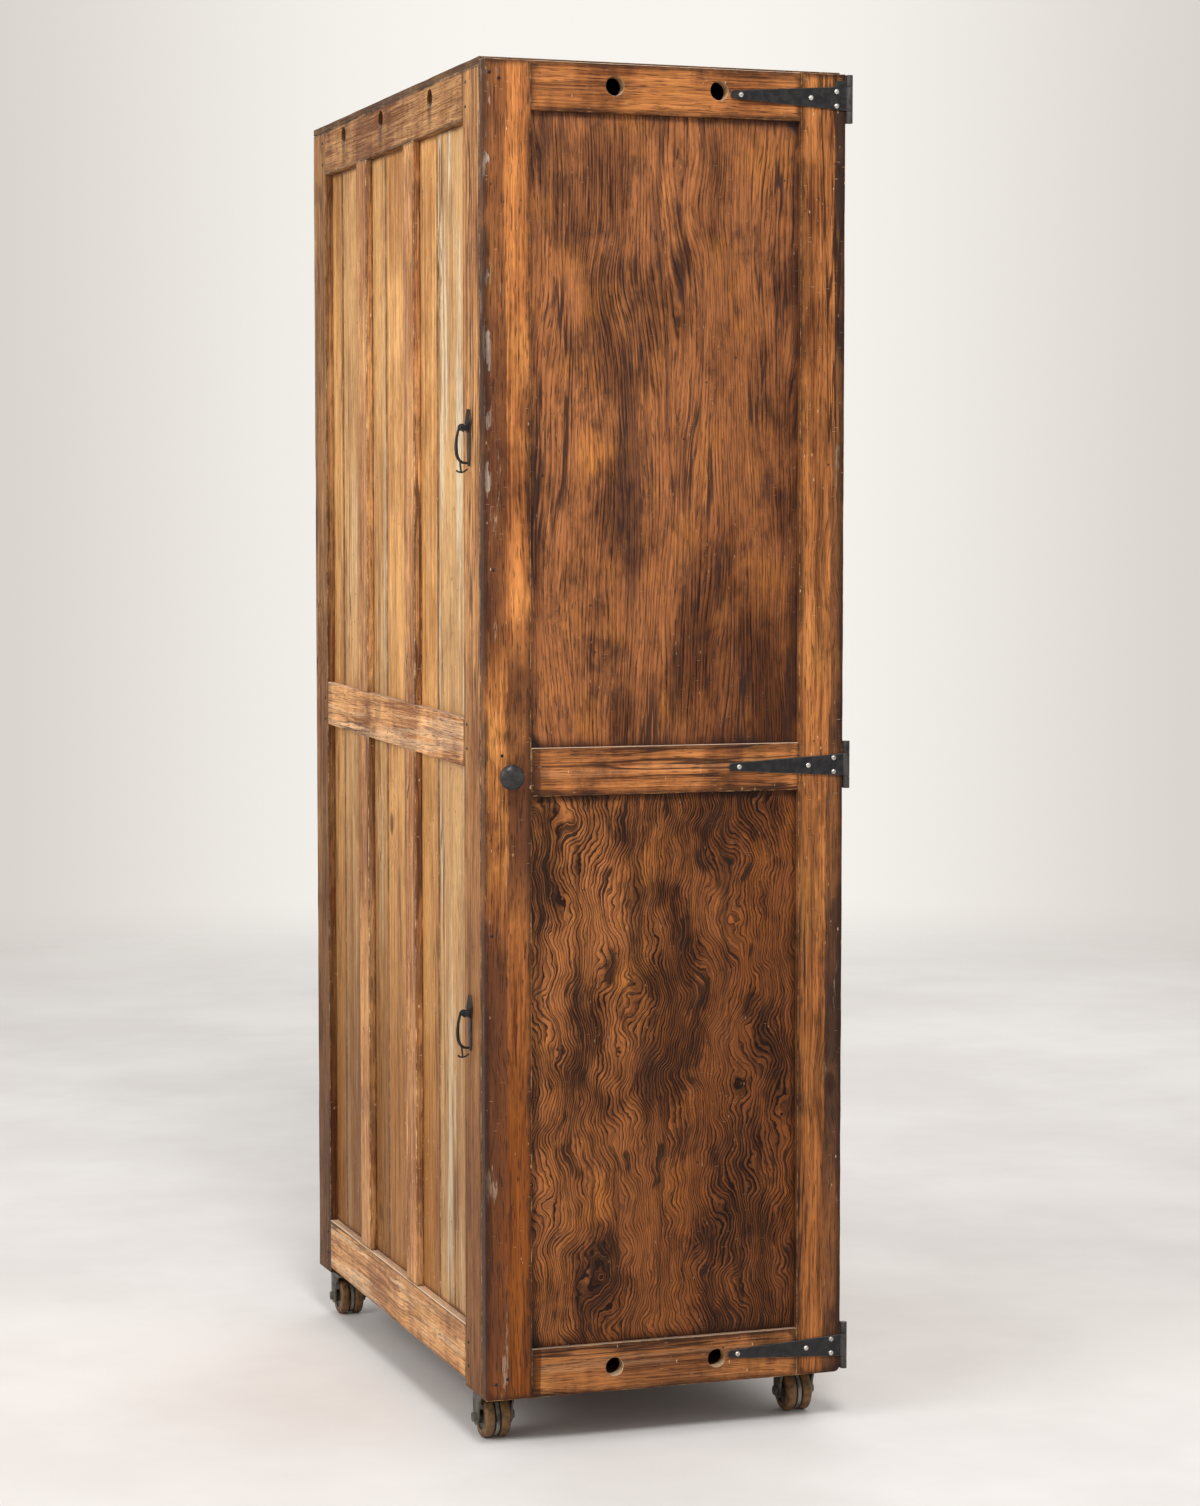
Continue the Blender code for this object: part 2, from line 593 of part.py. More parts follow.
def build_hinges(finishes, root, swing):
    iron = finishes["black_iron"]
    for place, centre_z in HINGE_HEIGHTS:
        show(f"hinge_{place}_strap", strap_leaf(centre_z, place == "top"), iron, swing)
        show(f"hinge_{place}_leaf", side_leaf(centre_z), iron, root)


# Knob and tongue
def knob_profile():
    """Half section of the knob and its spindle from the crown inwards: (distance behind the face, radius)."""
    rim = -KNOB_REACH + KNOB_CROWN
    crown = [(rim - height * KNOB_CROWN / KNOB_RADIUS, radius)
             for radius, height in reversed(arc((0.0, 0.0), KNOB_RADIUS, 0.0, 90.0))]
    neck = rim + KNOB_RIM + KNOB_UNDERCUT
    end = SPINDLE_INSIDE - DOOR_FACE
    body = [(rim + KNOB_RIM, KNOB_RADIUS - KNOB_RIM / 2), (neck, KNOB_NECK_RADIUS),
            (-2 * KNOB_BASE, KNOB_NECK_RADIUS), (-KNOB_BASE, KNOB_BASE_RADIUS), (-FIT, KNOB_BASE_RADIUS)]
    spindle = [(-FIT, SPINDLE_RADIUS), (end, SPINDLE_RADIUS), (end, 0.0)]
    return crown + body + spindle


def build_knob(finishes, swing):
    centre = (KNOB_X, DOOR_FACE, KNOB_Z)
    turn = pivot("knob_axis", centre, swing)
    knob = show("latch_knob", turned(knob_profile(), "Y", centre), finishes["knob_black"], turn)
    smooth(knob.data)
    outline = arc((KNOB_X, KNOB_Z), TONGUE_RADIUS, 0.0, 180.0)
    outline += arc((KNOB_X, KNOB_Z - TONGUE_LENGTH), TONGUE_RADIUS, 180.0, 360.0)
    tongue = prism(outline, "Y", TONGUE_FRONT, TONGUE_BACK)
    show("latch_tongue", tongue, finishes["black_iron"], turn)


# Bail pulls
def pull_plate(centre_z):
    """The spear-headed plate with two ears and the pin between them."""
    right = [(PULL_WIDTH / 2, PULL_SHOULDER), (PULL_STEM / 2, -PULL_SHOULDER),
             (PULL_STEM / 2, -PULL_BOTTOM + PULL_WIDTH / 2), (PULL_FOOT / 2, -PULL_BOTTOM)]
    left = [(-y, z) for y, z in reversed(right)]
    outline = [(0.0, PULL_TOP)] + right + left
    plate = prism([(PULL_Y + y, centre_z + z) for y, z in outline], "X", PULL_FACE, -HALF - FIT)
    root_x = PULL_FACE + PULL_PLATE / 2
    ear = [(root_x, centre_z + EAR_RADIUS)] + arc((PULL_PIN_X, centre_z), EAR_RADIUS, 90.0, 270.0)
    ear.append((root_x, centre_z - EAR_RADIUS))
    ears = [prism(ear, "Y", PULL_Y + side * EAR_INNER, PULL_Y + side * (EAR_INNER + EAR_THICKNESS))
            for side in (-1, 1)]
    end = EAR_INNER + EAR_THICKNESS / 2
    pin = rod("Y", (PULL_PIN_X, PULL_Y, centre_z), -end, end, PULL_PIN_RADIUS)
    return combined(plate, added=ears + [pin])


def bail_path():
    """The bent rod's middle line in X and Z, measured from its pin: an eye, a bow and a foot by the plate."""
    path = arc((0.0, 0.0), BAIL_EYE, BAIL_EYE_GAP - 180.0, 180.0)
    straight_end = -BAIL_DROP + BAIL_BEND
    for step in range(1, BAIL_STEPS):
        share = step / BAIL_STEPS
        swell = (1 - math.sin(share * math.pi / 2)) ** 2
        path.append((-BAIL_BOW + (BAIL_BOW - BAIL_EYE) * swell, straight_end * share))
    path += arc((-BAIL_BOW + BAIL_BEND, straight_end), BAIL_BEND, 180.0, 270.0)
    path.append((EAR_REACH - FIT, -BAIL_DROP))
    return path


def build_pulls(finishes, root):
    iron = finishes["black_iron"]
    for place, centre_z in PULL_HEIGHTS:
        show(f"pull_{place}_plate", pull_plate(centre_z), iron, root)
        hang = pivot(f"pull_{place}_pin_axis", (PULL_PIN_X, PULL_Y, centre_z), root)
        curve = bpy.data.curves.new(f"pull_{place}_bail", "CURVE")
        curve.dimensions = "3D"
        curve.bevel_depth = BAIL_RADIUS
        curve.bevel_resolution = 2
        curve.use_fill_caps = True
        points = bail_path()
        spline = curve.splines.new("POLY")
        spline.points.add(len(points) - 1)
        for spot, (x, z) in zip(spline.points, points):
            spot.co = (x, 0.0, z, 1.0)
        curve.materials.append(iron)
        bail = bpy.data.objects.new(f"pull_{place}_bail", curve)
        bpy.context.collection.objects.link(bail)
        bail.parent = hang


# Casters
def caster_plate(x, y):
    """The square plate under the cabinet with the kingpin riveted into it."""
    half = CASTER_PLATE / 2
    plate = block((x - half, y - half, PLATE_BOTTOM), (x + half, y + half, -FIT))
    head_top = CROWN_BOTTOM - FIT
    head_bottom = head_top - KINGPIN_HEAD_THICKNESS
    riveted = PLATE_BOTTOM + CASTER_PLATE_THICKNESS / 2
    profile = [(head_bottom, 0.0), (head_bottom, KINGPIN_HEAD), (head_top, KINGPIN_HEAD),
               (head_top, KINGPIN_RADIUS), (riveted, KINGPIN_RADIUS), (riveted, 0.0)]
    return combined(plate, added=[turned(profile, "Z", (x, y, 0.0), COARSE_TURN)])


def fork_channel(x, front, rear):
    """A channel along Y, open below, whose web is the fork's crown and whose walls become its legs."""
    low = AXLE_Z - 2 * FORK_EYE
    inner = FORK_HALF - FORK_WALL
    half = [(FORK_HALF, CROWN_TOP), (FORK_HALF, low), (inner, low), (inner, CROWN_BOTTOM)]
    mirrored = [(-across, z) for across, z in reversed(half)]
    return prism([(x + across, z) for across, z in half + mirrored], "Y", front - FORK_EYE, rear + FORK_EYE)


def caster_fork(x, y):
    """Crown, two legs with a hollow front edge, and the axle bolt; the axle trails behind the kingpin."""
    axle_y = y + TRAIL
    front = y - FORK_LEAD
    eye_front = axle_y - FORK_EYE
    rear = axle_y + FORK_EYE
    over = CROWN_TOP + CROWN_THICKNESS
    shoulder = CROWN_BOTTOM + CROWN_THICKNESS / 2
    sweep = [(front + (eye_front - front) * sine, AXLE_Z + (shoulder - AXLE_Z) * cosine)
             for cosine, sine in reversed(arc((0.0, 0.0), 1.0, 0.0, 90.0))]
    outline = [(rear, over)] + arc((axle_y, AXLE_Z), FORK_EYE, 0.0, -180.0) + sweep[1:] + [(front, over)]
    side_view = prism(outline, "X", x - 2 * FORK_HALF, x + 2 * FORK_HALF)
    seat = FORK_HALF - FORK_WALL / 2
    end = FORK_HALF + BOLT_HEAD_THICKNESS
    profile = [(-end, 0.0), (-end, BOLT_HEAD_RADIUS), (-seat, BOLT_HEAD_RADIUS), (-seat, AXLE_RADIUS),
               (seat, AXLE_RADIUS), (seat, BOLT_HEAD_RADIUS), (end, BOLT_HEAD_RADIUS), (end, 0.0)]
    bolt = turned(profile, "X", (x, axle_y, AXLE_Z), COARSE_TURN)
    bore = rod("Z", (x, y, 0.0), CROWN_BOTTOM - CROWN_THICKNESS, over, KINGPIN_RADIUS + RUNNING)
    return combined(fork_channel(x, front, rear), kept=[side_view], added=[bolt], removed=[bore])


def wheel_profile():
    """Half section of the wheel: hub, two round-edged treads, and the core disc between them."""
    core = CORE_WIDTH / 2
    slot_floor = WHEEL_RADIUS - CORE_SLOT_DEPTH
    shoulder = WHEEL_RADIUS - TREAD_ROUND
    slot = [(core, WHEEL_RADIUS - CORE_STEP), (core, slot_floor), (TREAD_INNER, slot_floor)]
    tread = [(TREAD_INNER, shoulder), (TREAD_INNER + TREAD_ROUND, WHEEL_RADIUS),
             (TREAD_OUTER - TREAD_ROUND, WHEEL_RADIUS), (TREAD_OUTER, shoulder)]
    side = slot + tread + [(TREAD_OUTER, HUB_RADIUS), (HUB_END, HUB_RADIUS)]
    mirrored = [(-along, radius) for along, radius in reversed(side)]
    bore = AXLE_RADIUS + RUNNING
    return [(-HUB_END, bore)] + mirrored + side + [(HUB_END, bore)]


def build_casters(finishes, root):
    side_x = HALF - CASTER_SIDE_INSET
    rear_y = BODY_DEPTH - CASTER_REAR_INSET
    corners = {
        "front_left": (-side_x, CASTER_FRONT_INSET), "front_right": (side_x, CASTER_FRONT_INSET),
        "rear_left": (-side_x, rear_y), "rear_right": (side_x, rear_y),
    }
    for place, (x, y) in corners.items():
        show(f"caster_{place}_plate", caster_plate(x, y), finishes["caster_iron"], root)
        swivel = pivot(f"caster_{place}_kingpin_axis", (x, y, CROWN_TOP), root)
        show(f"caster_{place}_fork", caster_fork(x, y), finishes["caster_iron"], swivel)
        axle = pivot(f"caster_{place}_axle_axis", (x, y + TRAIL, AXLE_Z), swivel)
        wheel = turned(wheel_profile(), "X", (x, y + TRAIL, AXLE_Z), FINE_TURN, ring=True)
        rolled = show(f"caster_{place}_wheel", wheel, finishes["wheel_fibre"], axle)
        smooth(rolled.data)


# Runners and type cases
def runner_top(level):
    return FIRST_RUNNER_Z + level * RUNNER_PITCH


def runner_rack(outward):
    """A comb section along the cabinet's depth: a backing board with one runner for each level."""
    back = RACK_FACE + RACK_BACK
    tip = RACK_FACE - RUNNER_REACH
    top = runner_top(RUNNER_LEVELS - 1) + RACK_TOP_SPARE
    outline = [(back, BOTTOM_THICKNESS + FIT), (RACK_FACE, BOTTOM_THICKNESS + FIT)]
    for level in range(RUNNER_LEVELS):
        high = runner_top(level)
        low = high - RUNNER_HEIGHT
        outline += [(RACK_FACE, low), (tip, low), (tip, high), (RACK_FACE, high)]
    outline += [(RACK_FACE, top), (back, top)]
    return prism([(outward * x, z) for x, z in outline], "Y", RACK_FRONT, BACK_INNER - FIT)


def type_case(level):
    """A shallow tray with a wooden pull on its front."""
    low = runner_top(level) + FIT
    tray = block((-CASE_HALF, CASE_FRONT, low), (CASE_HALF, CASE_BACK, low + CASE_HEIGHT))
    hollow = block((-CASE_HALF + CASE_WALL, CASE_FRONT + CASE_WALL, low + CASE_FLOOR),
                   (CASE_HALF - CASE_WALL, CASE_BACK - CASE_WALL, low + 2 * CASE_HEIGHT))
    half_width = CASE_PULL_WIDTH / 2
    pull_low = low + (CASE_HEIGHT - CASE_PULL_HEIGHT) / 2
    pull = block((-half_width, CASE_FRONT - CASE_PULL_REACH, pull_low),
                 (half_width, CASE_FRONT + CASE_WALL / 2, pull_low + CASE_PULL_HEIGHT))
    return combined(tray, added=[pull], removed=[hollow])


def build_inside(finishes, root):
    wood = finishes["inside_wood"]
    show("left_runner_rack", runner_rack(-1.0), wood, root)
    show("right_runner_rack", runner_rack(1.0), wood, root)
    for number, level in enumerate(CASE_LEVELS, start=1):
        slide = pivot(f"type_case_{number}_slide", (0.0, CASE_FRONT, runner_top(level)), root)
        show(f"type_case_{number}", type_case(level), wood, slide)


def main():
    clear_scene()
    finishes = make_finishes()
    root = bpy.data.objects.new("cabinet", None)
    bpy.context.collection.objects.link(root)
    root["at"] = (0.0, 0.0, 0.0)
    root.location = -ORIGIN
    swing = pivot("door_hinge_axis", (HINGE_X, HINGE_Y, 0.0), root)
    build_side("left", -1.0, LEFT_MID_RAIL_RISE, finishes, root)
    build_side("right", 1.0, RIGHT_MID_RAIL_RISE, finishes, root)
    build_shell(finishes, root)
    build_door(finishes, swing)
    build_hinges(finishes, root, swing)
    build_knob(finishes, swing)
    build_pulls(finishes, root)
    build_casters(finishes, root)
    build_inside(finishes, root)
    bpy.context.view_layer.update()


main()
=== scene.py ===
# %% [markdown]
# # A printers' type cabinet on casters
# A type cabinet is a narrow, deep cupboard that keeps the shallow wooden trays of a print shop. This one
# has framed and boarded sides, one door on black strap hinges, two bail pulls and four small casters. The
# imported model already holds every piece at its true size and on its true joint. Here the pieces get their
# surface: eased and rubbed edges, old shellac, iron, screws and nails, with some light and shade painted
# into the colours. We load the model first.

# %% Load the imported model
import json
import math
import random

import bmesh
import bpy
from mathutils import Matrix, Vector, noise


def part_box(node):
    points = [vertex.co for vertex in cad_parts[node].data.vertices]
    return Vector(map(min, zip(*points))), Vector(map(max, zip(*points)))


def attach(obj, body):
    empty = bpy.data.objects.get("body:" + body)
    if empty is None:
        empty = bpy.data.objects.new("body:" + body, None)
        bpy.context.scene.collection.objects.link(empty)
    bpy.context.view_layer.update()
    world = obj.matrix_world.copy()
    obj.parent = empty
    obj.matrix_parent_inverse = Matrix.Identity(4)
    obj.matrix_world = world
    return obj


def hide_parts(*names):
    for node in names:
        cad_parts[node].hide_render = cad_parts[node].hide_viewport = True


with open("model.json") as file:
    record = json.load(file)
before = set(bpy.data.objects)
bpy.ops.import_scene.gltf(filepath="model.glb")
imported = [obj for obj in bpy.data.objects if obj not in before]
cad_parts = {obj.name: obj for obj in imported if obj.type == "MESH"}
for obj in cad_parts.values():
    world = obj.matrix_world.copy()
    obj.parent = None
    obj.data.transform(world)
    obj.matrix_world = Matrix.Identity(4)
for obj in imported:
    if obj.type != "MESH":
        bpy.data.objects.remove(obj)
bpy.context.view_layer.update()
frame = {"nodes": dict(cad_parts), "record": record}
NODES = frame["nodes"]
RECORD = frame["record"]
BODY_OF = {node: body for body, nodes in RECORD["behaviour"]["bodies"].items() for node in nodes}

# %% [markdown]
# ## The camera
# The photograph was taken from a little to the left of the cabinet, at chest height, with a long lens. The
# place and the lens were found by fitting the cabinet's corners to the picture. The lens is given for the
# picture's height, so the sensor is told to fit vertically.

# %% Place the camera
CAMERA_PLACE = (-1.5389, -4.6579, 1.2244)
CAMERA_TILT = math.radians(86.202)
CAMERA_YAW = math.radians(-18.949)
SENSOR_HEIGHT = 36.0
LENS = 80.95

lens = bpy.data.cameras.new("photo_lens")
lens.sensor_fit = "VERTICAL"
lens.sensor_height = SENSOR_HEIGHT
lens.lens = LENS
camera = bpy.data.objects.new("photo_camera", lens)
camera.location = CAMERA_PLACE
camera.rotation_euler = (CAMERA_TILT, 0.0, CAMERA_YAW)
bpy.context.scene.collection.objects.link(camera)
bpy.context.scene.camera = camera
bpy.context.scene.view_settings.view_transform = "Standard"
print("camera with a", LENS, "mm lens")

# %% [markdown]
# ## Building materials in code
# A material is a graph of nodes. Writing out every node and link by hand soon hides the idea, so a small
# helper class adds one node at a time and hands back the socket that carries its result. A recipe then
# reads like arithmetic: noise, fade, mix.

# %% A helper that writes node graphs


class Graph:
    """Adds nodes to one node tree. Each call returns the output socket of the node that it made."""

    def __init__(self, tree):
        self.tree = tree

    def plug(self, value, socket):
        if isinstance(value, bpy.types.NodeSocket):
            self.tree.links.new(value, socket)
        elif socket.type == "RGBA":
            socket.default_value = (*value, 1.0)
        else:
            socket.default_value = value

    def add(self, kind, inputs, output=0, **settings):
        node = self.tree.nodes.new("ShaderNode" + kind)
        for setting, value in settings.items():
            setattr(node, setting, value)
        for socket, value in inputs.items():
            self.plug(value, node.inputs[socket])
        return node.outputs[output]

    def use(self, effect, inputs):
        """Places a node group and returns its outputs by name."""
        return self.add("Group", inputs, node_tree=effect).node.outputs

    def attribute(self, name, output):
        return self.add("Attribute", {}, output, attribute_name=name)

    def math(self, operation, *values):
        return self.add("Math", dict(enumerate(values)), operation=operation)

    def times(self, first, *others):
        for other in others:
            first = self.math("MULTIPLY", first, other)
        return first

    def weighed(self, pairs, start=0.0):
        """Adds up values, each times its weight."""
        total = start
        for value, weight in pairs:
            total = self.math("MULTIPLY_ADD", value, weight, total)
        return total

    def gap(self, value, level):
        return self.math("ABSOLUTE", self.math("SUBTRACT", value, level))

    def fade(self, value, low, high):
        """0 where the value is at low, 1 where it is at high, smooth between."""
        limits = {"Value": value, "From Min": low, "From Max": high}
        return self.add("MapRange", limits, interpolation_type="SMOOTHSTEP")

    def between(self, share, first, second):
        return self.add("Mix", {0: share, 2: first, 3: second})

    def mix(self, share, first, second, blend="MIX"):
        colours = {0: share, 6: first, 7: second}
        return self.add("Mix", colours, 2, data_type="RGBA", blend_type=blend)

    def laid(self, colour, mask, strength, paint, blend="MIX"):
        """Lays a paint over a colour where the mask says, at some strength."""
        return self.mix(self.math("MULTIPLY", mask, strength), colour, paint, blend)

    def sized(self, vector, factor):
        return self.add("VectorMath", {0: vector, "Scale": factor}, operation="SCALE")

    def scaled(self, vector, factors):
        return self.add("VectorMath", {0: vector, 1: factors}, operation="MULTIPLY")

    def moved(self, vector, offset):
        return self.add("VectorMath", {0: vector, 1: offset}, operation="ADD")

    def split(self, vector):
        node = self.add("SeparateXYZ", {0: vector}).node
        return node.outputs[0], node.outputs[1], node.outputs[2]

    def noise(self, vector, scale=1.0, detail=2.0, roughness=0.5):
        settings = {"Vector": vector, "Scale": scale, "Detail": detail, "Roughness": roughness}
        return self.add("TexNoise", settings)

    def stretched(self, vector, size, detail=2.0, roughness=0.5):
        """Noise with a scale of its own on each axis."""
        return self.noise(self.scaled(vector, size), detail=detail, roughness=roughness)

    def dots(self, vector, scale=1.0):
        """The distance to the nearest of many scattered points."""
        return self.add("TexVoronoi", {"Vector": vector, "Scale": scale})


print("graph helper ready")

# %% [markdown]
# ### Effects and finishes
# An effect that many finishes share, such as grain or edge wear, is a node group with named sockets, so it
# is built once and placed with other values in each finish. A finish is a material. Its shader stays in the
# material itself, and the effects only feed it.

# %% Start an effect or a finish


def new_effect(name, inputs, outputs):
    """An empty node group with named sockets: its graph, its inputs and its outputs."""
    tree = bpy.data.node_groups.new(name, "ShaderNodeTree")
    for socket, kind in inputs.items():
        tree.interface.new_socket(socket, in_out="INPUT", socket_type="NodeSocket" + kind)
    for socket in outputs:
        tree.interface.new_socket(socket, in_out="OUTPUT", socket_type="NodeSocketFloat")
    entry = tree.nodes.new("NodeGroupInput")
    leave = tree.nodes.new("NodeGroupOutput")
    return Graph(tree), entry.outputs, leave.inputs


def new_finish(name):
    """A material with a Principled shader: its graph, the shader's inputs and the material."""
    material = bpy.data.materials.new(name)
    material.use_nodes = True
    shader = material.node_tree.nodes["Principled BSDF"]
    return Graph(material.node_tree), shader.inputs, material


print("effects and finishes can be started")

# %% [markdown]
# ## Wood grain
# Grain is what is left of the tree's yearly rings when a saw cuts through them. A picture of wood would
# repeat and would not turn with the piece, so the rings are worked out. Each piece of wood carries an
# attribute named grain, which holds the place across the board, through it and along it. The rings are a
# wavy distance across the board, cut into steps: each ring darkens slowly and ends sharply, as late wood
# does, and has a strength of its own. A knot pushes the rings aside.

# %% The grain effect: rings and knots
SWAY_SCALE = 8.0
RIPPLE_SCALE = 48.0
RIPPLE_SHARE = 0.09
KNOT_SIZE = (6.0, 6.0, 3.6)
KNOT_DARK = (0.075, 0.045)
KNOT_REACH = (0.3, 0.0)
KNOT_PUSH = 0.014
RING_TILT = 0.55
LATE_POWER = 3.0
LATE_END = (1.0, 0.9)
PATCH_SHIFT = (3.7, 1.9, 0.8)
PATCH_SCALE = 11.0
PATCH_FADE = (0.3, 0.62)
RING_SPREAD = (0.8, 0.2)
PATCH_SPREAD = (0.75, 0.25)

effect, entry, leave = new_effect(
    "wood grain",
    {"Place": "Vector", "Ring width": "Float", "Wander": "Float", "Draw": "Float", "Even": "Float"},
    ("Rings", "Streaks", "Ticks", "Fibre", "Pores", "Knots", "Cracks"),
)
drawn = effect.scaled(entry["Place"], effect.add("CombineXYZ", {0: 1.0, 1: 1.0, 2: entry["Draw"]}))
sway = effect.math("SUBTRACT", effect.noise(drawn, SWAY_SCALE), 0.5)
ripple = effect.math("SUBTRACT", effect.noise(drawn, RIPPLE_SCALE), 0.5)
sway = effect.math("MULTIPLY_ADD", ripple, RIPPLE_SHARE, sway)
knot = effect.dots(effect.scaled(entry["Place"], KNOT_SIZE))
effect.plug(effect.fade(knot, *KNOT_DARK), leave["Knots"])
across, through, along = effect.split(entry["Place"])
pushed = ((through, RING_TILT), (sway, entry["Wander"]), (effect.fade(knot, *KNOT_REACH), KNOT_PUSH))
radius = effect.weighed(pushed, across)
turns = effect.math("DIVIDE", radius, entry["Ring width"])
ring = effect.math("FRACT", turns)
late = effect.times(effect.math("POWER", ring, LATE_POWER), effect.fade(ring, *LATE_END))
strength = effect.add("TexWhiteNoise", {"W": effect.math("FLOOR", turns)}, noise_dimensions="1D")
patchy = effect.fade(effect.noise(effect.moved(drawn, PATCH_SHIFT), PATCH_SCALE, detail=3.0), *PATCH_FADE)
uneven = effect.times(effect.math("MULTIPLY_ADD", strength, *RING_SPREAD),
                      effect.math("MULTIPLY_ADD", patchy, *PATCH_SPREAD))
effect.plug(effect.times(late, effect.between(entry["Even"], uneven, 1.0)), leave["Rings"])
print("rings and knots:", len(effect.tree.nodes), "nodes")

# %% [markdown]
# ### Streaks, fibres, pores and cracks
# The finer marks of wood are noise that is drawn out along the board. They read the rings' radius in place
# of the plain distance across, so they bend with the rings. Old wood also cracks where it has dried: a
# crack is the thin line where one more noise passes through its middle value, and a broad noise keeps the
# cracks to a few dry patches.

# %% The grain effect: fine figure and cracks
# Size on each axis, detail, roughness, and the values between which the mark fades in.
FINE_FIGURE = {
    "Streaks": ((110.0, 110.0, 2.0), 4.0, 0.62, (0.41, 0.61)),
    "Ticks": ((260.0, 260.0, 24.0), 2.0, 0.6, (0.5, 0.58)),
    "Fibre": ((560.0, 560.0, 9.0), 2.0, 0.6, (0.43, 0.59)),
    "Pores": ((800.0, 800.0, 42.0), 1.0, 0.5, (0.58, 0.68)),
}
CRACK_SIZE = (75.0, 75.0, 3.2)
CRACK_WIDTH = (0.045, 0.015)
DRY_SHIFT = (1.1, 4.3, 2.7)
DRY_SCALE = 13.0
DRY_FADE = (0.52, 0.6)

bent = effect.add("CombineXYZ", {0: radius, 1: through, 2: along})
for output, (size, detail, roughness, fade) in FINE_FIGURE.items():
    effect.plug(effect.fade(effect.stretched(bent, size, detail, roughness), *fade), leave[output])
crack = effect.gap(effect.stretched(bent, CRACK_SIZE, detail=2.0, roughness=0.55), 0.5)
dry = effect.noise(effect.moved(drawn, DRY_SHIFT), DRY_SCALE, detail=3.0)
effect.plug(effect.times(effect.fade(crack, *CRACK_WIDTH), effect.fade(dry, *DRY_FADE)), leave["Cracks"])
GRAIN = effect.tree
print(GRAIN.name, "effect with", len(GRAIN.nodes), "nodes")

# %% [markdown]
# ## A century of use
# Old shellac darkens in clouds, glows where it is thin, and soaks up stains and runs. The glow is also a
# painted highlight: its pale patches stand for glints of light on the veneer. These are slow changes over a
# surface, so they are broad noises. They read Object coordinates, and so a stain runs on from one piece to
# the next, as it does on the real cabinet. Only the runs follow the grain.

# %% The patina effect
CLOUD_STRETCH = (1.0, 1.0, 0.5)
# Stretch and shift on each axis, detail, roughness, and the values between which it fades in.
SHELLAC_AND_GLINTS = {
    # Glow patches are thin shellac, and also painted glints of light on the veneer.
    "Glow and glints": ((1.5, 1.5, 1.0), (2.1, 7.9, 4.6), 5.0, 0.6, (0.5, 0.68)),
    "Stain": ((2.2, 2.2, 1.3), (5.3, 1.7, 3.1), 6.0, 0.65, (0.53, 0.72)),
}
RUN_SIZE = (42.0, 42.0, 2.6)
RUN_FADE = (0.53, 0.66)

effect, entry, leave = new_effect(
    "old finish", {"Place": "Vector", "Lie": "Vector", "Size": "Float"}, ("Cloud", "Glow and glints", "Stain", "Run")
)
spread = effect.sized(entry["Place"], effect.math("DIVIDE", 1.0, entry["Size"]))
effect.plug(effect.stretched(spread, CLOUD_STRETCH, detail=5.0, roughness=0.62), leave["Cloud"])
for output, (stretch, shift, detail, roughness, fade) in SHELLAC_AND_GLINTS.items():
    patch = effect.moved(effect.scaled(spread, stretch), shift)
    patch = effect.noise(patch, detail=detail, roughness=roughness)
    effect.plug(effect.fade(patch, *fade), leave[output])
run = effect.stretched(entry["Lie"], RUN_SIZE, detail=4.0, roughness=0.62)
effect.plug(effect.fade(run, *RUN_FADE), leave["Run"])
PATINA = effect.tree
print(PATINA.name, "effect with", len(PATINA.nodes), "nodes")

# %% [markdown]
# ### Knocks and scratches
# Small knocks leave pale flecks and dark pits, and things dragged past leave short scratches. All three are
# scattered points that are cut off close to their middle. Flecks are drawn out upright, and scratches are
# drawn out much more and turned askew. They come in busy places, as real marks do.

# %% The small marks effect
BUSY_SCALE = 7.0
BUSY_FADE = (0.42, 0.62)
FLECK_SIZE = (95.0, 95.0, 34.0)
FLECK_FADE = (0.1, 0.05)
PIT_SHIFT = (1.3, 0.7, 2.9)
PIT_SCALE = 42.0
PIT_FADE = (0.085, 0.055)
SCRATCH_SIZE = (26.0, 330.0, 330.0)
SCRATCH_TURN = (0.5, 0.6, 0.9)

effect, entry, leave = new_effect(
    "knocks and scratches", {"Place": "Vector"}, ("Flecks", "Pits", "Scratches")
)
place = entry["Place"]
askew = effect.add("Mapping", {"Vector": place, "Rotation": SCRATCH_TURN, "Scale": SCRATCH_SIZE})
busy = effect.fade(effect.noise(place, BUSY_SCALE), *BUSY_FADE)
scattered = {
    "Flecks": (effect.dots(effect.scaled(place, FLECK_SIZE)), FLECK_FADE),
    "Pits": (effect.dots(effect.moved(place, PIT_SHIFT), PIT_SCALE), PIT_FADE),
    "Scratches": (effect.dots(askew), FLECK_FADE),
}
for output, (distance, fade) in scattered.items():
    effect.plug(effect.times(effect.fade(distance, *fade), busy), leave[output])
MARKS = effect.tree
print(MARKS.name, "effect with", len(MARKS.nodes), "nodes")

# %% [markdown]
# ### Worn, dirty and shaded edges
# Hands rub the finish off the edges, and dirt gathers along them. Two attributes of the mesh, wear and rim,
# say how near an edge is. A noise breaks both up, because an edge that is worn evenly looks painted on. On
# wood the pale rub is also a painted highlight along the edges, and the dark rim is also painted shade: wide
# on the door panels, which lie deep in the frame, and on the walls of holes.

# %% The worn edge effect
RUB_SCALE = 46.0
RUB_SPREAD = (1.7, -1.1)
RUB_FADE = (0.45, 0.9)
GRIME_AND_SHADE_SCALE = 14.0
GRIME_AND_SHADE_SPREAD = (2.0, -0.15)
GRIME_AND_SHADE_FADE = (0.1, 0.9)

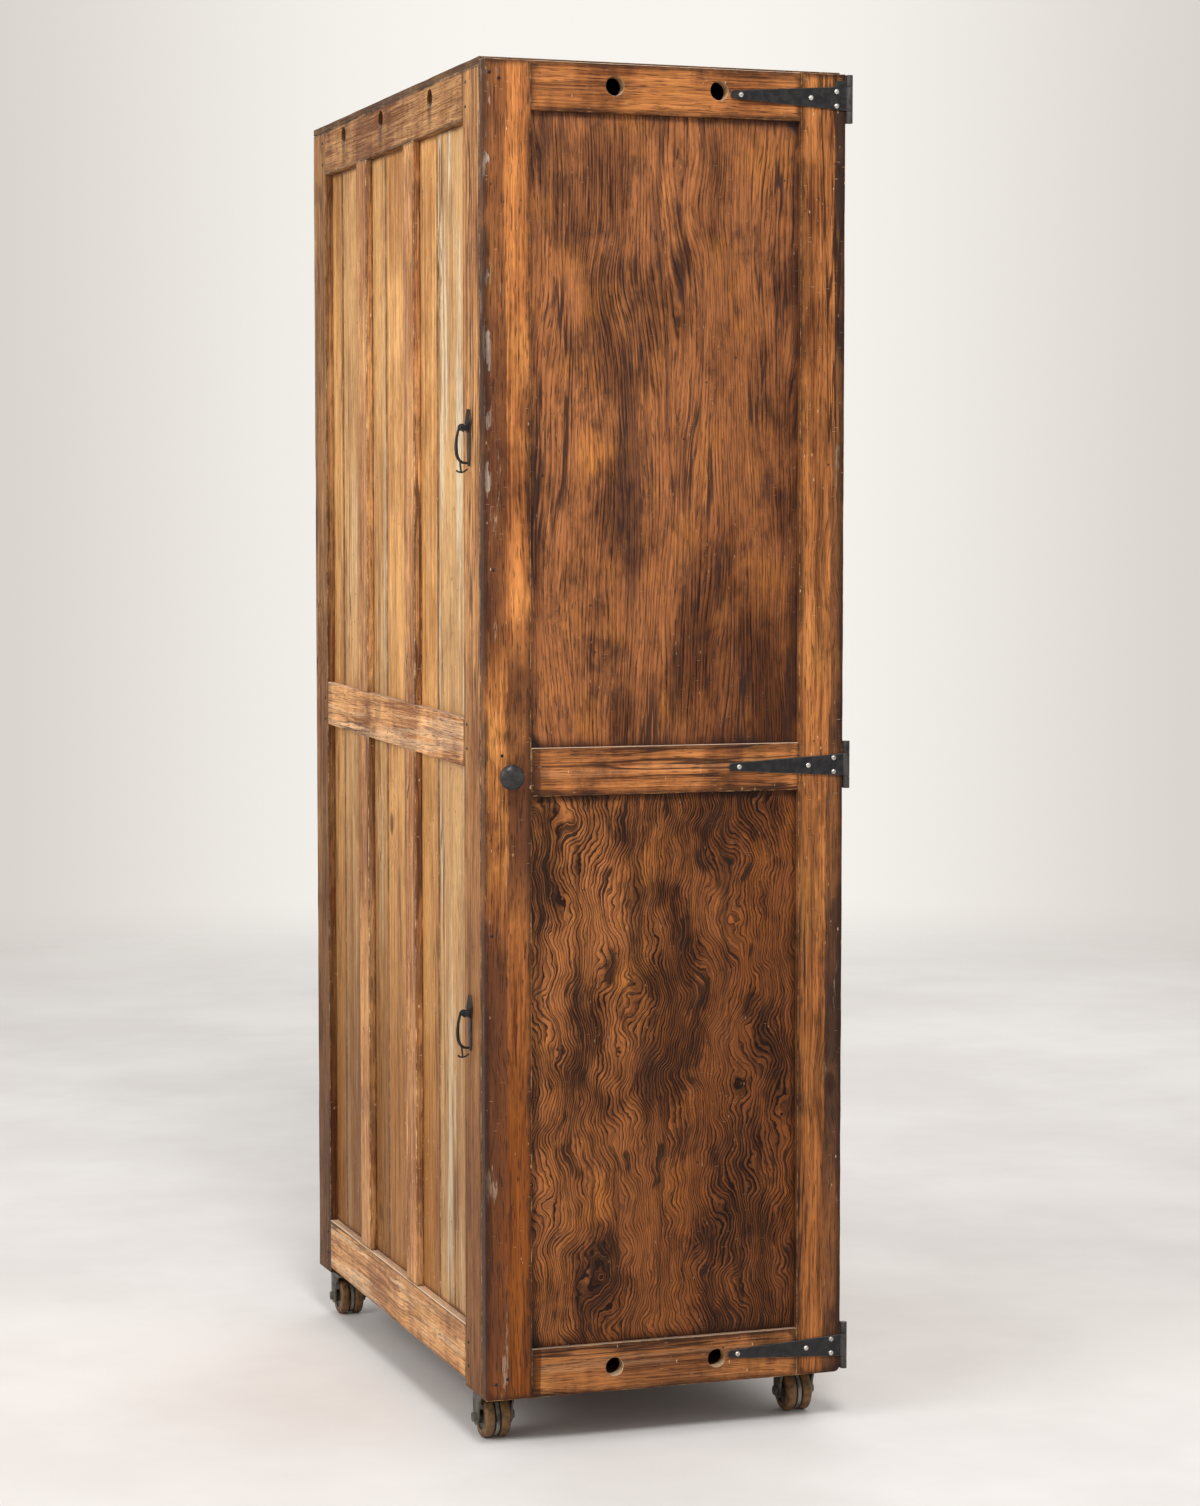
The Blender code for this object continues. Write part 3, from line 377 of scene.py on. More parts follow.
effect, entry, leave = new_effect(
    "rubbed and grimy edges", {"Place": "Vector", "Wear": "Float", "Rim": "Float"}, ("Rubbed", "Grime and shade")
)
patchy = effect.noise(entry["Place"], RUB_SCALE, detail=5.0, roughness=0.7)
rubbed = effect.math("ADD", entry["Wear"], effect.math("MULTIPLY_ADD", patchy, *RUB_SPREAD))
effect.plug(effect.fade(rubbed, *RUB_FADE), leave["Rubbed"])
soft = effect.noise(entry["Place"], GRIME_AND_SHADE_SCALE, detail=4.0, roughness=0.65)
grime_and_shade_mask = effect.times(entry["Rim"], effect.math("MULTIPLY_ADD", soft, *GRIME_AND_SHADE_SPREAD))
effect.plug(effect.fade(grime_and_shade_mask, *GRIME_AND_SHADE_FADE), leave["Grime and shade"])
EDGES = effect.tree
print(EDGES.name, "effect with", len(EDGES.nodes), "nodes")

# %% [markdown]
# ## Weathered wood, dust and painted top light
# Boards that stood in the sun turn grey, and their finish wears off in pale streaks along the grain. Dust
# lies on every ledge that faces up, and this pale colour on faces and worn edges that look upwards is also a
# painted top light. Both are short functions that take a colour and give back another, so the recipe for
# wood can use them one after the other.

# %% Weather, dust and painted top light
GREYED = (0.62, 0.47, 0.27)
GREY_SHARE = 0.55
WEATHERED = (0.72, 0.61, 0.43)
WEATHER_SIZE = (52.0, 52.0, 1.9)
WEATHER_FADE = (0.57, 0.62)
BARE_GAIN = 1.7
DUST_AND_TOP_LIGHT = (0.74, 0.56, 0.42)
FACING_UP = (0.2, 0.75)
LEDGE_DUST_AND_LIGHT = 0.3
EDGE_DUST_AND_HIGHLIGHT = 0.5


def greyed(graph, colour, lie, weathered):
    colour = graph.laid(colour, weathered, GREY_SHARE, GREYED)
    streaks = graph.fade(graph.stretched(lie, WEATHER_SIZE, detail=3.0, roughness=0.6), *WEATHER_FADE)
    bare = graph.math("MINIMUM", graph.math("MULTIPLY", weathered, BARE_GAIN), 1.0)
    return graph.laid(colour, streaks, bare, WEATHERED)


# Upward faces, and most of all their worn edges, turn paler: dust, and also a painted top light.
def dusted_and_toplit(graph, colour, wear):
    upward = graph.fade(graph.split(graph.add("NewGeometry", {}, "Normal"))[2], *FACING_UP)
    dust_and_light_share = graph.math("MULTIPLY_ADD", wear, EDGE_DUST_AND_HIGHLIGHT, LEDGE_DUST_AND_LIGHT)
    return graph.laid(colour, upward, dust_and_light_share, DUST_AND_TOP_LIGHT)


print("weather and dust ready")

# %% [markdown]
# ## The wood recipe
# Every wooden finish is the same recipe with other colours: pale early wood and deep late wood, a glow where
# the shellac is thin, which also paints glints of light, stains, whose colour also paints shade in recesses,
# and the pale wood of rubbed edges, which also paints highlights. Each piece also carries an attribute named
# tone: how bright the piece is, how weathered and how dirty. A finish may take one more function, which
# changes the colour by the place on the cabinet. Rings, pores and knocks also lower the surface a little.

# %% A function that makes a wooden finish
GRAIN_INPUTS = ("Ring width", "Wander", "Draw", "Even")
CLOUD_FADE = (0.43, 0.61)
RUN_SHARE = 0.8
DIRT_SHARE = 0.35
CRACKED = 0.85
RUBBED_AND_HIGHLIT_SHARE = 0.6
FLECK = (0.66, 0.45, 0.25)
PIT = (0.03, 0.016, 0.01)
PIT_SHARE = 0.8
FIBRE_DULL = 0.16
SOIL_DULL = 0.15
WOOD_SHEEN = 0.12
HOLLOWS = {"Rings": -0.6, "Fibre": -0.5, "Pores": -0.6}
TICK_HOLLOW = -0.8
MARK_HOLLOW = -1.2
WOOD_BUMP = {"Distance": 0.0006, "Strength": 0.7}


def wood(name, colours, grain, figure, age, roughness, by_place=None):
    """A wooden finish.

    colours are those of pale wood, deep wood, thin shellac that also paints glints, stains that also paint
    shade, and rubbed edges that also paint highlights.
    grain is the ring width, how far rings wander, the figure's scale along the board, where a small value
    draws it out, and how even the rings are.
    figure is how strongly rings, streaks, fibres, pores, ticks and knots show.
    age is the size of the clouds, then the strength of clouds, glow and glints, stains, grime and painted
    shade, and flecks.
    """
    graph, shader, material = new_finish(name)
    # The thin shellac colour also paints glints, the stain colour also paints shade, and the rubbed colour
    # also paints highlights.
    pale, deep, thin, stain_and_shade, rubbed = colours
    ringed, streaked, fibrous, porous, ticked, knotty = figure
    size, cloudy, glow_and_glints, stained, grimy_and_shaded, flecked = age
    place = graph.add("TexCoord", {}, "Object")
    lie = graph.attribute("grain", "Vector")
    wear = graph.attribute("wear", "Fac")
    bright, weathered, dirty = graph.split(graph.attribute("tone", "Vector"))
    rings = graph.use(GRAIN, {"Place": lie, **dict(zip(GRAIN_INPUTS, grain))})
    old = graph.use(PATINA, {"Place": place, "Lie": lie, "Size": size})
    marks = graph.use(MARKS, {"Place": place})
    edges = graph.use(EDGES, {"Place": place, "Wear": wear, "Rim": graph.attribute("rim", "Fac")})

    clouds = graph.fade(old["Cloud"], *CLOUD_FADE)
    dark = graph.weighed(((rings["Rings"], ringed), (rings["Streaks"], streaked), (rings["Fibre"], fibrous),
                          (rings["Ticks"], ticked), (clouds, cloudy)))
    # Thin shellac shows where the glow is, and also stands for painted glints of light.
    colour = graph.mix(dark, graph.laid(pale, old["Glow and glints"], glow_and_glints, thin), deep)
    colour = greyed(graph, colour, lie, weathered)
    if by_place:
        colour = by_place(graph, colour, place, old["Cloud"], dirty)
    soil = graph.math("MAXIMUM", old["Stain"], graph.math("MULTIPLY", old["Run"], RUN_SHARE))
    soil = graph.times(soil, graph.math("MULTIPLY_ADD", dirty, DIRT_SHARE, stained))
    colour = graph.mix(soil, colour, stain_and_shade)
    colour = graph.laid(colour, rings["Pores"], porous, stain_and_shade)
    colour = graph.laid(colour, rings["Knots"], knotty, stain_and_shade)
    colour = graph.laid(colour, rings["Cracks"], CRACKED, stain_and_shade)
    # Near edges the stain colour is laid as grime, and on the door panels and hole walls as painted shade.
    colour = graph.laid(colour, edges["Grime and shade"], grimy_and_shaded, stain_and_shade)
    # The pale rubbed edges are worn finish and also a painted highlight along the edges.
    colour = graph.laid(colour, edges["Rubbed"], RUBBED_AND_HIGHLIT_SHARE, rubbed)
    colour = dusted_and_toplit(graph, colour, wear)
    scuffs = graph.math("MAXIMUM", marks["Flecks"], marks["Scratches"])
    colour = graph.laid(colour, scuffs, flecked, FLECK)
    colour = graph.laid(colour, marks["Pits"], PIT_SHARE, PIT)
    graph.plug(graph.sized(colour, bright), shader["Base Color"])

    dull = ((rings["Fibre"], FIBRE_DULL), (soil, SOIL_DULL))
    graph.plug(graph.weighed(dull, roughness - FIBRE_DULL / 2.0), shader["Roughness"])
    shader["Specular IOR Level"].default_value = WOOD_SHEEN
    hollows = [(rings[mark], depth) for mark, depth in HOLLOWS.items()]
    hollows.append((rings["Ticks"], TICK_HOLLOW * ticked))
    hollows.append((graph.math("MAXIMUM", scuffs, marks["Pits"]), MARK_HOLLOW))
    graph.plug(graph.add("Bump", {"Height": graph.weighed(hollows), **WOOD_BUMP}), shader["Normal"])
    return material


print("wood recipe ready")

# %% [markdown]
# ### What changes by place on the sides
# The wood at the foot of the sides is darker, up to a level that wanders with the clouds. Dirt has run down
# from the vents in the top rail. Their middles are read from the imported rail, whose only points away from
# its edges are those of the vents. Every function that changes a colour by place gets the same values from
# the recipe, and uses those that it needs.

# %% The dark foot and the vents' drips
VENT_APART = 0.05
RAIL_EDGE = 0.003
RAIL_END = 0.02
DRIP_WIDTH = (0.012, 0.004)
DRIP_LENGTH = (0.06, 0.012)
DRIP_START = (-0.004, 0.006)
DRIP_SHARE = 0.65
DARK_FOOT = (0.41, 0.325, 0.24)
FOOT_FADE = (1.15, 0.25)
FOOT_WANDER = 0.6
FOOT_DARK_SHARE = (3.0, 0.15)


def vent_places(node):
    """The middle of each vent in a rail."""
    low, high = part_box(node)
    points = [v.co for v in NODES[node].data.vertices if low.z + RAIL_EDGE < v.co.z < high.z - RAIL_EDGE]
    points = [co for co in points if low.y + RAIL_END < co.y < high.y - RAIL_END]
    points.sort(key=lambda co: co.y)
    groups = [[points[0]]]
    for point in points[1:]:
        if point.y - groups[-1][-1].y > VENT_APART:
            groups.append([])
        groups[-1].append(point)
    return [sum(group, Vector()) / len(group) for group in groups]


def wandering(graph, level, cloud, reach):
    """Moves a level up and down with the clouds."""
    return graph.math("MULTIPLY_ADD", cloud, reach, graph.math("SUBTRACT", level, reach / 2.0))


SIDE_VENTS = vent_places("left_top_rail")


def dark_foot(graph, colour, place, cloud, dirty):
    _, y, height = graph.split(place)
    for vent in SIDE_VENTS:
        under = graph.math("SUBTRACT", vent.z, height)
        drip = graph.times(graph.fade(graph.gap(y, vent.y), *DRIP_WIDTH), graph.fade(under, *DRIP_LENGTH),
                           graph.fade(under, *DRIP_START))
        colour = graph.laid(colour, drip, DRIP_SHARE, PIT)
    foot = graph.fade(wandering(graph, height, cloud, FOOT_WANDER), *FOOT_FADE)
    share = graph.math("MINIMUM", graph.math("MULTIPLY_ADD", dirty, *FOOT_DARK_SHARE), 1.0)
    return graph.laid(colour, foot, share, DARK_FOOT, "MULTIPLY")


print("vents in the side's top rail:", len(SIDE_VENTS))

# %% [markdown]
# ### What changes by place on the door
# The outer strip of both stiles is darker than the rest, with a wavy edge. Beside the knob it is the other
# way round: hands have rubbed the left stile's outer strip bright, and its inner strip is the dark one. The
# strips are scraped here and there, and the upper left edge has lost chips of its finish. The stiles darken
# towards the floor, and the panels also towards the hinges.

# %% The door's strips, scrapes and chips
DOOR_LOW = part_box("door_left_stile")[0]
DOOR_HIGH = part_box("door_right_stile")[1]
LEFT_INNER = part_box("door_left_stile")[1].x
RIGHT_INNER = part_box("door_right_stile")[0].x
KNOB_LEVEL = (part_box("latch_knob")[0].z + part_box("latch_knob")[1].z) / 2.0
LEFT_WIDTH = 0.031
RIGHT_WIDTHS = (0.027, 0.015)
LEFT_STRIP = DOOR_LOW.x + LEFT_WIDTH
RIGHT_STRIP = [DOOR_HIGH.x - width for width in RIGHT_WIDTHS]
STRIP_SWAY = (9.0, 9.0, 4.5)
STRIP_WANDER = 0.02
STRIP_SOFT = 0.0012
STRIP_CLOUD = (0.3, 0.62)
STRIP_SHARE = (0.5, 0.45)
STILE_OUTSIDE = 0.012
STILE_INSIDE = 0.01
HAND_REACH = (0.24, 0.12)
HAND_RUBBED = (1.17, 1.24, 1.2)
DARK_STRIP = (0.092, 0.032, 0.0135)
BLACK_STRIP = (0.03, 0.018, 0.014)
DARK_STILE = (0.44, 0.34, 0.2)
STILE_FADE = (0.95, 0.35)
STILE_WANDER = 0.5
RIGHT_STILE_SHARE = 0.3
SCRAPED = (0.34, 0.24, 0.165)
SCRAPE_SIZE = (42.0, 42.0, 7.0)
SCRAPE_FADE = (0.6, 0.66)
SCRAPE_SHARE = 0.6
CHIPPED = (0.46, 0.37, 0.29)
CHIP_SIZE = (60.0, 60.0, 15.0)
CHIP_FADE = (0.55, 0.58)
CHIP_BAND = (0.011, 0.006)
CHIP_LEVEL = (1.12, 1.32)
CHIP_SHARE = 0.8


def dark_strips(graph, colour, place, cloud, dirty):
    straight, _, z = graph.split(place)
    sway = graph.math("SUBTRACT", graph.stretched(place, STRIP_SWAY, detail=4.0, roughness=0.6), 0.5)
    x = graph.math("ADD", straight, graph.math("MULTIPLY", sway, STRIP_WANDER))
    outer = graph.fade(x, LEFT_STRIP + STRIP_SOFT, LEFT_STRIP - STRIP_SOFT)
    left_stile = graph.fade(x, LEFT_INNER + STILE_OUTSIDE, LEFT_INNER + STILE_INSIDE)
    right_stile = graph.fade(x, RIGHT_INNER - STILE_OUTSIDE, RIGHT_INNER - STILE_INSIDE)
    inner = graph.times(graph.math("SUBTRACT", 1.0, outer), left_stile)
    hands = graph.fade(graph.gap(z, KNOB_LEVEL), *HAND_REACH)
    left = graph.between(hands, outer, inner)
    edge = graph.between(graph.fade(z, DOOR_LOW.z, DOOR_HIGH.z), *RIGHT_STRIP)
    right = graph.fade(graph.math("SUBTRACT", x, edge), -STRIP_SOFT, STRIP_SOFT)
    uneven = graph.math("MULTIPLY_ADD", graph.fade(cloud, *STRIP_CLOUD), *STRIP_SHARE)
    foot = graph.fade(wandering(graph, z, cloud, STILE_WANDER), *STILE_FADE)
    stiles = graph.math("MAXIMUM", left_stile, graph.math("MULTIPLY", right_stile, RIGHT_STILE_SHARE))
    colour = graph.laid(colour, foot, stiles, DARK_STILE, "MULTIPLY")
    colour = graph.laid(colour, hands, left_stile, HAND_RUBBED, "MULTIPLY")
    colour = graph.laid(colour, left, uneven, DARK_STRIP)
    colour = graph.laid(colour, right, uneven, BLACK_STRIP)
    scrape = graph.fade(graph.stretched(place, SCRAPE_SIZE, detail=5.0, roughness=0.7), *SCRAPE_FADE)
    scrape = graph.times(scrape, graph.math("MAXIMUM", outer, right))
    colour = graph.laid(colour, scrape, SCRAPE_SHARE, SCRAPED)
    chip = graph.fade(graph.stretched(place, CHIP_SIZE, detail=4.0, roughness=0.65), *CHIP_FADE)
    beside_edge = graph.fade(graph.math("SUBTRACT", straight, DOOR_LOW.x), *CHIP_BAND)
    chip = graph.times(chip, beside_edge, graph.fade(z, *CHIP_LEVEL))
    return graph.laid(colour, chip, CHIP_SHARE, CHIPPED)


print("left strip", LEFT_WIDTH * 1000.0, "mm wide")

# %% The door's dark panels
DARK_PANEL = (0.44, 0.37, 0.31)
PANEL_FADE = (0.1, 0.95)
PANEL_WANDER = 0.8
HINGE_SHADE = 0.55
FLOOR_SHADE = 0.6


def dark_panel(graph, colour, place, cloud, dirty):
    x, _, z = graph.split(place)
    to_hinges = graph.fade(x, DOOR_LOW.x, DOOR_HIGH.x)
    to_floor = graph.fade(z, DOOR_HIGH.z, DOOR_LOW.z)
    shade = graph.weighed(((to_hinges, HINGE_SHADE), (to_floor, FLOOR_SHADE)))
    shade = wandering(graph, shade, cloud, PANEL_WANDER)
    return graph.mix(graph.fade(shade, *PANEL_FADE), colour, DARK_PANEL, "MULTIPLY")


print("door from", round(DOOR_LOW.z, 3), "to", round(DOOR_HIGH.z, 3), "m above the floor")

# %% [markdown]
# ## The wooden finishes
# The frame is brown, the boards behind it are honey-coloured, and the door is orange. Its upper panel is a
# plain red-brown veneer, whose rings are drawn far along the board. The lower one is a burl: its rings
# wander widely, are hardly drawn out, and so curl. Inside, the wood was left bare.

# %% Mix the wooden finishes
FRAME_WOOD = wood(
    "old frame wood",
    colours=((0.66, 0.33, 0.12), (0.2, 0.068, 0.02), (0.8, 0.45, 0.18),
             (0.055, 0.023, 0.012), (0.8, 0.54, 0.28)),
    grain=(0.0058, 0.04, 0.09, 0.1),
    figure=(0.45, 0.3, 0.32, 0.7, 0.18, 0.6),
    age=(0.14, 0.5, 0.75, 0.4, 0.8, 0.8),
    roughness=0.52, by_place=dark_foot)
SIDE_BOARDS = wood(
    "honey side boards",
    colours=((0.82, 0.44, 0.15), (0.33, 0.13, 0.032), (0.9, 0.55, 0.22),
             (0.12, 0.05, 0.018), (0.82, 0.58, 0.32)),
    grain=(0.011, 0.06, 0.05, 0.0),
    figure=(0.5, 0.3, 0.28, 0.6, 0.2, 0.9),
    age=(0.2, 0.45, 0.65, 0.3, 0.9, 1.0),
    roughness=0.5, by_place=dark_foot)
DOOR_WOOD = wood(
    "orange door wood",
    colours=((0.53, 0.195, 0.055), (0.11, 0.031, 0.009), (0.66, 0.28, 0.075),
             (0.024, 0.01, 0.006), (0.66, 0.36, 0.15)),
    grain=(0.0052, 0.04, 0.08, 0.1),
    figure=(0.45, 0.27, 0.3, 0.7, 0.12, 0.6),
    age=(0.13, 0.45, 0.6, 0.5, 0.8, 0.8),
    roughness=0.45, by_place=dark_strips)
UPPER_PANEL = wood(
    "red brown veneer",
    colours=((0.43, 0.158, 0.054), (0.03, 0.009, 0.005), (0.56, 0.21, 0.052),
             (0.026, 0.013, 0.011), (0.4, 0.18, 0.08)),
    grain=(0.0048, 0.09, 0.16, 0.5),
    figure=(0.72, 0.1, 0.2, 0.7, 0.2, 0.0),
    age=(0.09, 0.4, 0.8, 0.6, 1.0, 0.3),
    roughness=0.42, by_place=dark_panel)
LOWER_PANEL = wood(
    "burl veneer",
    colours=((0.52, 0.19, 0.06), (0.026, 0.009, 0.004), (0.66, 0.24, 0.055),
             (0.018, 0.008, 0.005), (0.35, 0.15, 0.06)),
    grain=(0.0046, 0.13, 0.9, 0.7),
    figure=(1.25, 0.12, 0.22, 0.6, 0.2, 0.0),
    age=(0.08, 0.45, 0.9, 0.6, 1.0, 0.3),
    roughness=0.42, by_place=dark_panel)
INSIDE_WOOD = wood(
    "bare inside wood",
    colours=((0.62, 0.37, 0.17), (0.26, 0.125, 0.046), (0.7, 0.46, 0.23),
             (0.09, 0.045, 0.022), (0.62, 0.44, 0.26)),
    grain=(0.0065, 0.03, 0.08, 0.1),
    figure=(0.45, 0.35, 0.25, 0.4, 0.2, 0.4),
    age=(0.16, 0.4, 0.5, 0.3, 0.9, 0.5),
    roughness=0.62)
woods = (FRAME_WOOD, SIDE_BOARDS, DOOR_WOOD, UPPER_PANEL, LOWER_PANEL, INSIDE_WOOD)
print("wooden finishes:", [finish.name for finish in woods])

# %% [markdown]
# ## Iron, steel and wheel finishes
# The hinges and pulls are black iron that has lost its paint at the edges. The casters are brown iron, the
# screws are plain steel, and the wheel treads are a tan fibre. Each is one recipe: the piece's own colour
# with clouds of another, a paler one on worn edges, and a finely pitted bump.

# %% A function that makes a metal finish
BLOTCH_SCALE = 90.0
BLOTCH_FADE = (0.4, 0.68)
BLOTCH_DULL = 0.2
BARE_SHARE = 0.75
IRON_SHEEN = 0.3
GRIT_SCALE = 900.0
GRIT_DEPTH = 0.0004


def metal(name, base, cloud, rubbed, metallic, roughness, pitting):
    graph, shader, material = new_finish(name)
    place = graph.add("TexCoord", {}, "Object")
    edges = graph.use(EDGES, {"Place": place, "Wear": graph.attribute("wear", "Fac"), "Rim": 0.0})
    blotch = graph.fade(graph.noise(place, BLOTCH_SCALE, detail=4.0, roughness=0.65), *BLOTCH_FADE)
    colour = graph.mix(blotch, base, cloud)
    colour = graph.laid(colour, edges["Rubbed"], BARE_SHARE, rubbed)
    graph.plug(colour, shader["Base Color"])
    shader["Metallic"].default_value = metallic
    shader["Specular IOR Level"].default_value = IRON_SHEEN
    dull = graph.math("MULTIPLY_ADD", blotch, BLOTCH_DULL, roughness - BLOTCH_DULL / 2.0)
    graph.plug(dull, shader["Roughness"])
    grit = graph.noise(place, GRIT_SCALE, detail=3.0, roughness=0.6)
    bump = graph.add("Bump", {"Height": grit, "Distance": GRIT_DEPTH, "Strength": pitting})
    graph.plug(bump, shader["Normal"])
    return material


BLACK_IRON = metal("black iron", (0.008, 0.008, 0.009), (0.022, 0.02, 0.02), (0.07, 0.06, 0.055),
                   metallic=0.0, roughness=0.5, pitting=0.5)
KNOB_BLACK = metal("black knob", (0.024, 0.022, 0.022), (0.05, 0.046, 0.044), (0.1, 0.09, 0.085),
                   metallic=0.15, roughness=0.36, pitting=0.15)
CASTER_IRON = metal("brown caster iron", (0.07, 0.063, 0.049), (0.03, 0.024, 0.018), (0.16, 0.14, 0.11),
                    metallic=0.15, roughness=0.5, pitting=0.5)
STEEL = metal("screw steel", (0.62, 0.6, 0.57), (0.34, 0.3, 0.26), (0.75, 0.73, 0.7),
              metallic=0.9, roughness=0.36, pitting=0.15)
BRASS_DOT = metal("knob rivet", (0.7, 0.62, 0.5), (0.5, 0.42, 0.32), (0.8, 0.74, 0.62),
                  metallic=0.9, roughness=0.3, pitting=0.1)
WHEEL_TREAD = metal("tan wheel fibre", (0.2, 0.105, 0.04), (0.075, 0.042, 0.02), (0.32, 0.22, 0.12),
                    metallic=0.0, roughness=0.6, pitting=0.4)
WHEEL_CORE = metal("dark wheel iron", (0.05, 0.044, 0.036), (0.025, 0.02, 0.016), (0.3, 0.285, 0.265),
                   metallic=0.2, roughness=0.5, pitting=0.4)
metals = (BLACK_IRON, KNOB_BLACK, CASTER_IRON, STEEL, BRASS_DOT, WHEEL_TREAD, WHEEL_CORE)
print("metal finishes:", [finish.name for finish in metals])

# %% [markdown]
# ## Easing the edges of a piece
# A real board has no sharp edges: a plane, and then a hundred years of hands, have taken them off. The
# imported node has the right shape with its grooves, holes and notches, so we copy its mesh, merge its loose
# triangles, join those that lie flat and bevel every sharp edge. The copy also gets the attributes that the
# finishes read. They start at zero.

# %% Copy a node and ease its edges
WELD = 0.00002
FLAT_ANGLE = math.radians(1.0)
SHARP_ANGLE = math.radians(35.0)
EASE_STEPS = 2


def add_layers(bm):
    for name in ("wear", "rim"):
        bm.verts.layers.float.new(name)
    for name in ("grain", "tone"):
        bm.verts.layers.float_vector.new(name)
    return bm


def copied(node):
    bm = bmesh.new()
    bm.from_mesh(NODES[node].data)
    add_layers(bm)
    bmesh.ops.remove_doubles(bm, verts=bm.verts, dist=WELD)
    bmesh.ops.dissolve_limit(bm, angle_limit=FLAT_ANGLE, verts=bm.verts, edges=bm.edges)
    return bm


def rounded(bm, edges, radius, segments):
    made = bmesh.ops.bevel(bm, geom=edges, offset=radius, offset_type="OFFSET", affect="EDGES",
                           segments=segments, profile=0.5, material=-1, clamp_overlap=True)
    return set(made["faces"])


def eased(bm, edge):
    """Bevels the sharp edges and returns the faces that are still flat."""
    sharp = [e for e in bm.edges if e.is_manifold and e.calc_face_angle() > SHARP_ANGLE]
    round_faces = rounded(bm, sharp, edge, EASE_STEPS)
    return [face for face in bm.faces if face not in round_faces]


print("edge tools ready")

# %% [markdown]
# ### From a shape to a piece
# A bmesh is only a shape in memory. To be seen it becomes a mesh on an object, with a finish and smooth
# shading that stops at sharp edges.

# %% Turn a shape into a piece
SMOOTH_ANGLE = math.radians(40.0)


def shown(name, bm, material, body, nodes=()):
    """Turns a bmesh into a piece that rides on a body, and stands for CAD nodes if it has any."""
    mesh = bpy.data.meshes.new(name)
    bm.to_mesh(mesh)
    bm.free()
    mesh.materials.append(material)
    mesh.shade_smooth()
    mesh.set_sharp_from_angle(angle=SMOOTH_ANGLE)
    piece = bpy.data.objects.new(name, mesh)
    bpy.context.scene.collection.objects.link(piece)
    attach(piece, body)
    if nodes:
        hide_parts(*nodes)
    return piece


print("pieces are shaded smooth up to", round(math.degrees(SMOOTH_ANGLE)), "degrees")

# %% [markdown]
# ## Wear, seams and dents on wood
# To let the finish know where a surface is rubbed, the piece is sliced by planes close to its edges, and
# each point gets the attributes wear and rim by its distance to the nearest edge. Slices across the grain
# let the edges be dented here and there. The ends of a piece, where it meets its neighbour, get a rim above
# 1, which the finish reads as black dirt. The walls of holes get a rim of their own, which the finish
# paints as shade, and are handed back as bored.

# %% Slice and weather a piece of wood
AXES = {"X": (2, 1, 0), "Y": (2, 0, 1), "Z": (0, 1, 2)}
BAND_ROOM = 2.5
SEAM = 0.0016
SEAM_DIRT = 1.7
HOLE_SHADE = 3.0
HOLE_DEPTH = 0.0004
HOLE_EDGE = 0.003
DENT_STEP = 0.04


def limits(bm):
    low = Vector([min(vert.co[axis] for vert in bm.verts) for axis in range(3)])
    high = Vector([max(vert.co[axis] for vert in bm.verts) for axis in range(3)])
    return low, high


def sliced(bm, axis, level):
    at = Vector((0.0, 0.0, 0.0))
    normal = Vector((0.0, 0.0, 0.0))
    at[axis] = level
    normal[axis] = 1.0
    everything = bm.verts[:] + bm.edges[:] + bm.faces[:]
    bmesh.ops.bisect_plane(bm, geom=everything, dist=WELD, plane_co=at, plane_no=normal)


def weather(bm, along, wear_band, rim_band, hole_shade=HOLE_SHADE):
    """Slices a piece, sets its wear and rim, and returns the points in the walls of its holes."""
    low, high = limits(bm)
    length = AXES[along][2]
    thin = min(range(3), key=lambda axis: high[axis] - low[axis])
    for axis in range(3):
        span = high[axis] - low[axis]
        bands = [band for band in (SEAM, wear_band, rim_band) if span > BAND_ROOM * band]
        levels = [low[axis] + band for band in bands] + [high[axis] - band for band in bands]
        if axis == length:
            steps = int(span / DENT_STEP)
            levels += [low[axis] + span * step / steps for step in range(1, steps)]
        for level in levels:
            sliced(bm, axis, level)
    wear = bm.verts.layers.float["wear"]
    rim = bm.verts.layers.float["rim"]
    bored = []
    for vert in bm.verts:
        gaps = [min(vert.co[axis] - low[axis], high[axis] - vert.co[axis]) for axis in range(3)]
        nearest = sorted(gaps)[1]
        vert[wear] = max(0.0, 1.0 - nearest / wear_band)
        vert[rim] = max(0.0, 1.0 - nearest / rim_band)
        if gaps[length] < SEAM - WELD:
            vert[rim] = SEAM_DIRT
        beside = min(gap for axis, gap in enumerate(gaps) if axis != thin)
        # Points inside a hole get a high rim, which the finish paints as shade.
        if gaps[thin] > HOLE_DEPTH and beside > HOLE_EDGE:
            vert[rim] = hole_shade
            bored.append(vert)
    return bored


print("wood is sliced every", round(DENT_STEP * 1000.0), "mm along the grain")

# %% [markdown]
# ### Dents, and a place in the log
# A knock pushes an edge in, so points move inwards by a noise times their wear. Then every piece is given
# its own place in an imagined log, drawn from its name, because two neighbours with the same rings would
# look printed. Its tone is set at the same time. The bare walls of a hole may have another tone than the
# rest.

# %% Dress a sawn piece of wood
DENT_DEPTH = 0.0011
DENT_SIZE = 19.0
KNOCK_BIAS = 0.1
LOG_SIZE = 3.0
CORNER_STEPS = 5


def dent(bm):
    """Pushes the edges in where knocks have bruised them."""
    wear = bm.verts.layers.float["wear"]
    bm.normal_update()
    for vert in bm.verts:
        knock = max(0.0, noise.noise(vert.co * DENT_SIZE) + KNOCK_BIAS)
        vert.co -= vert.normal * (DENT_DEPTH * knock * vert[wear])


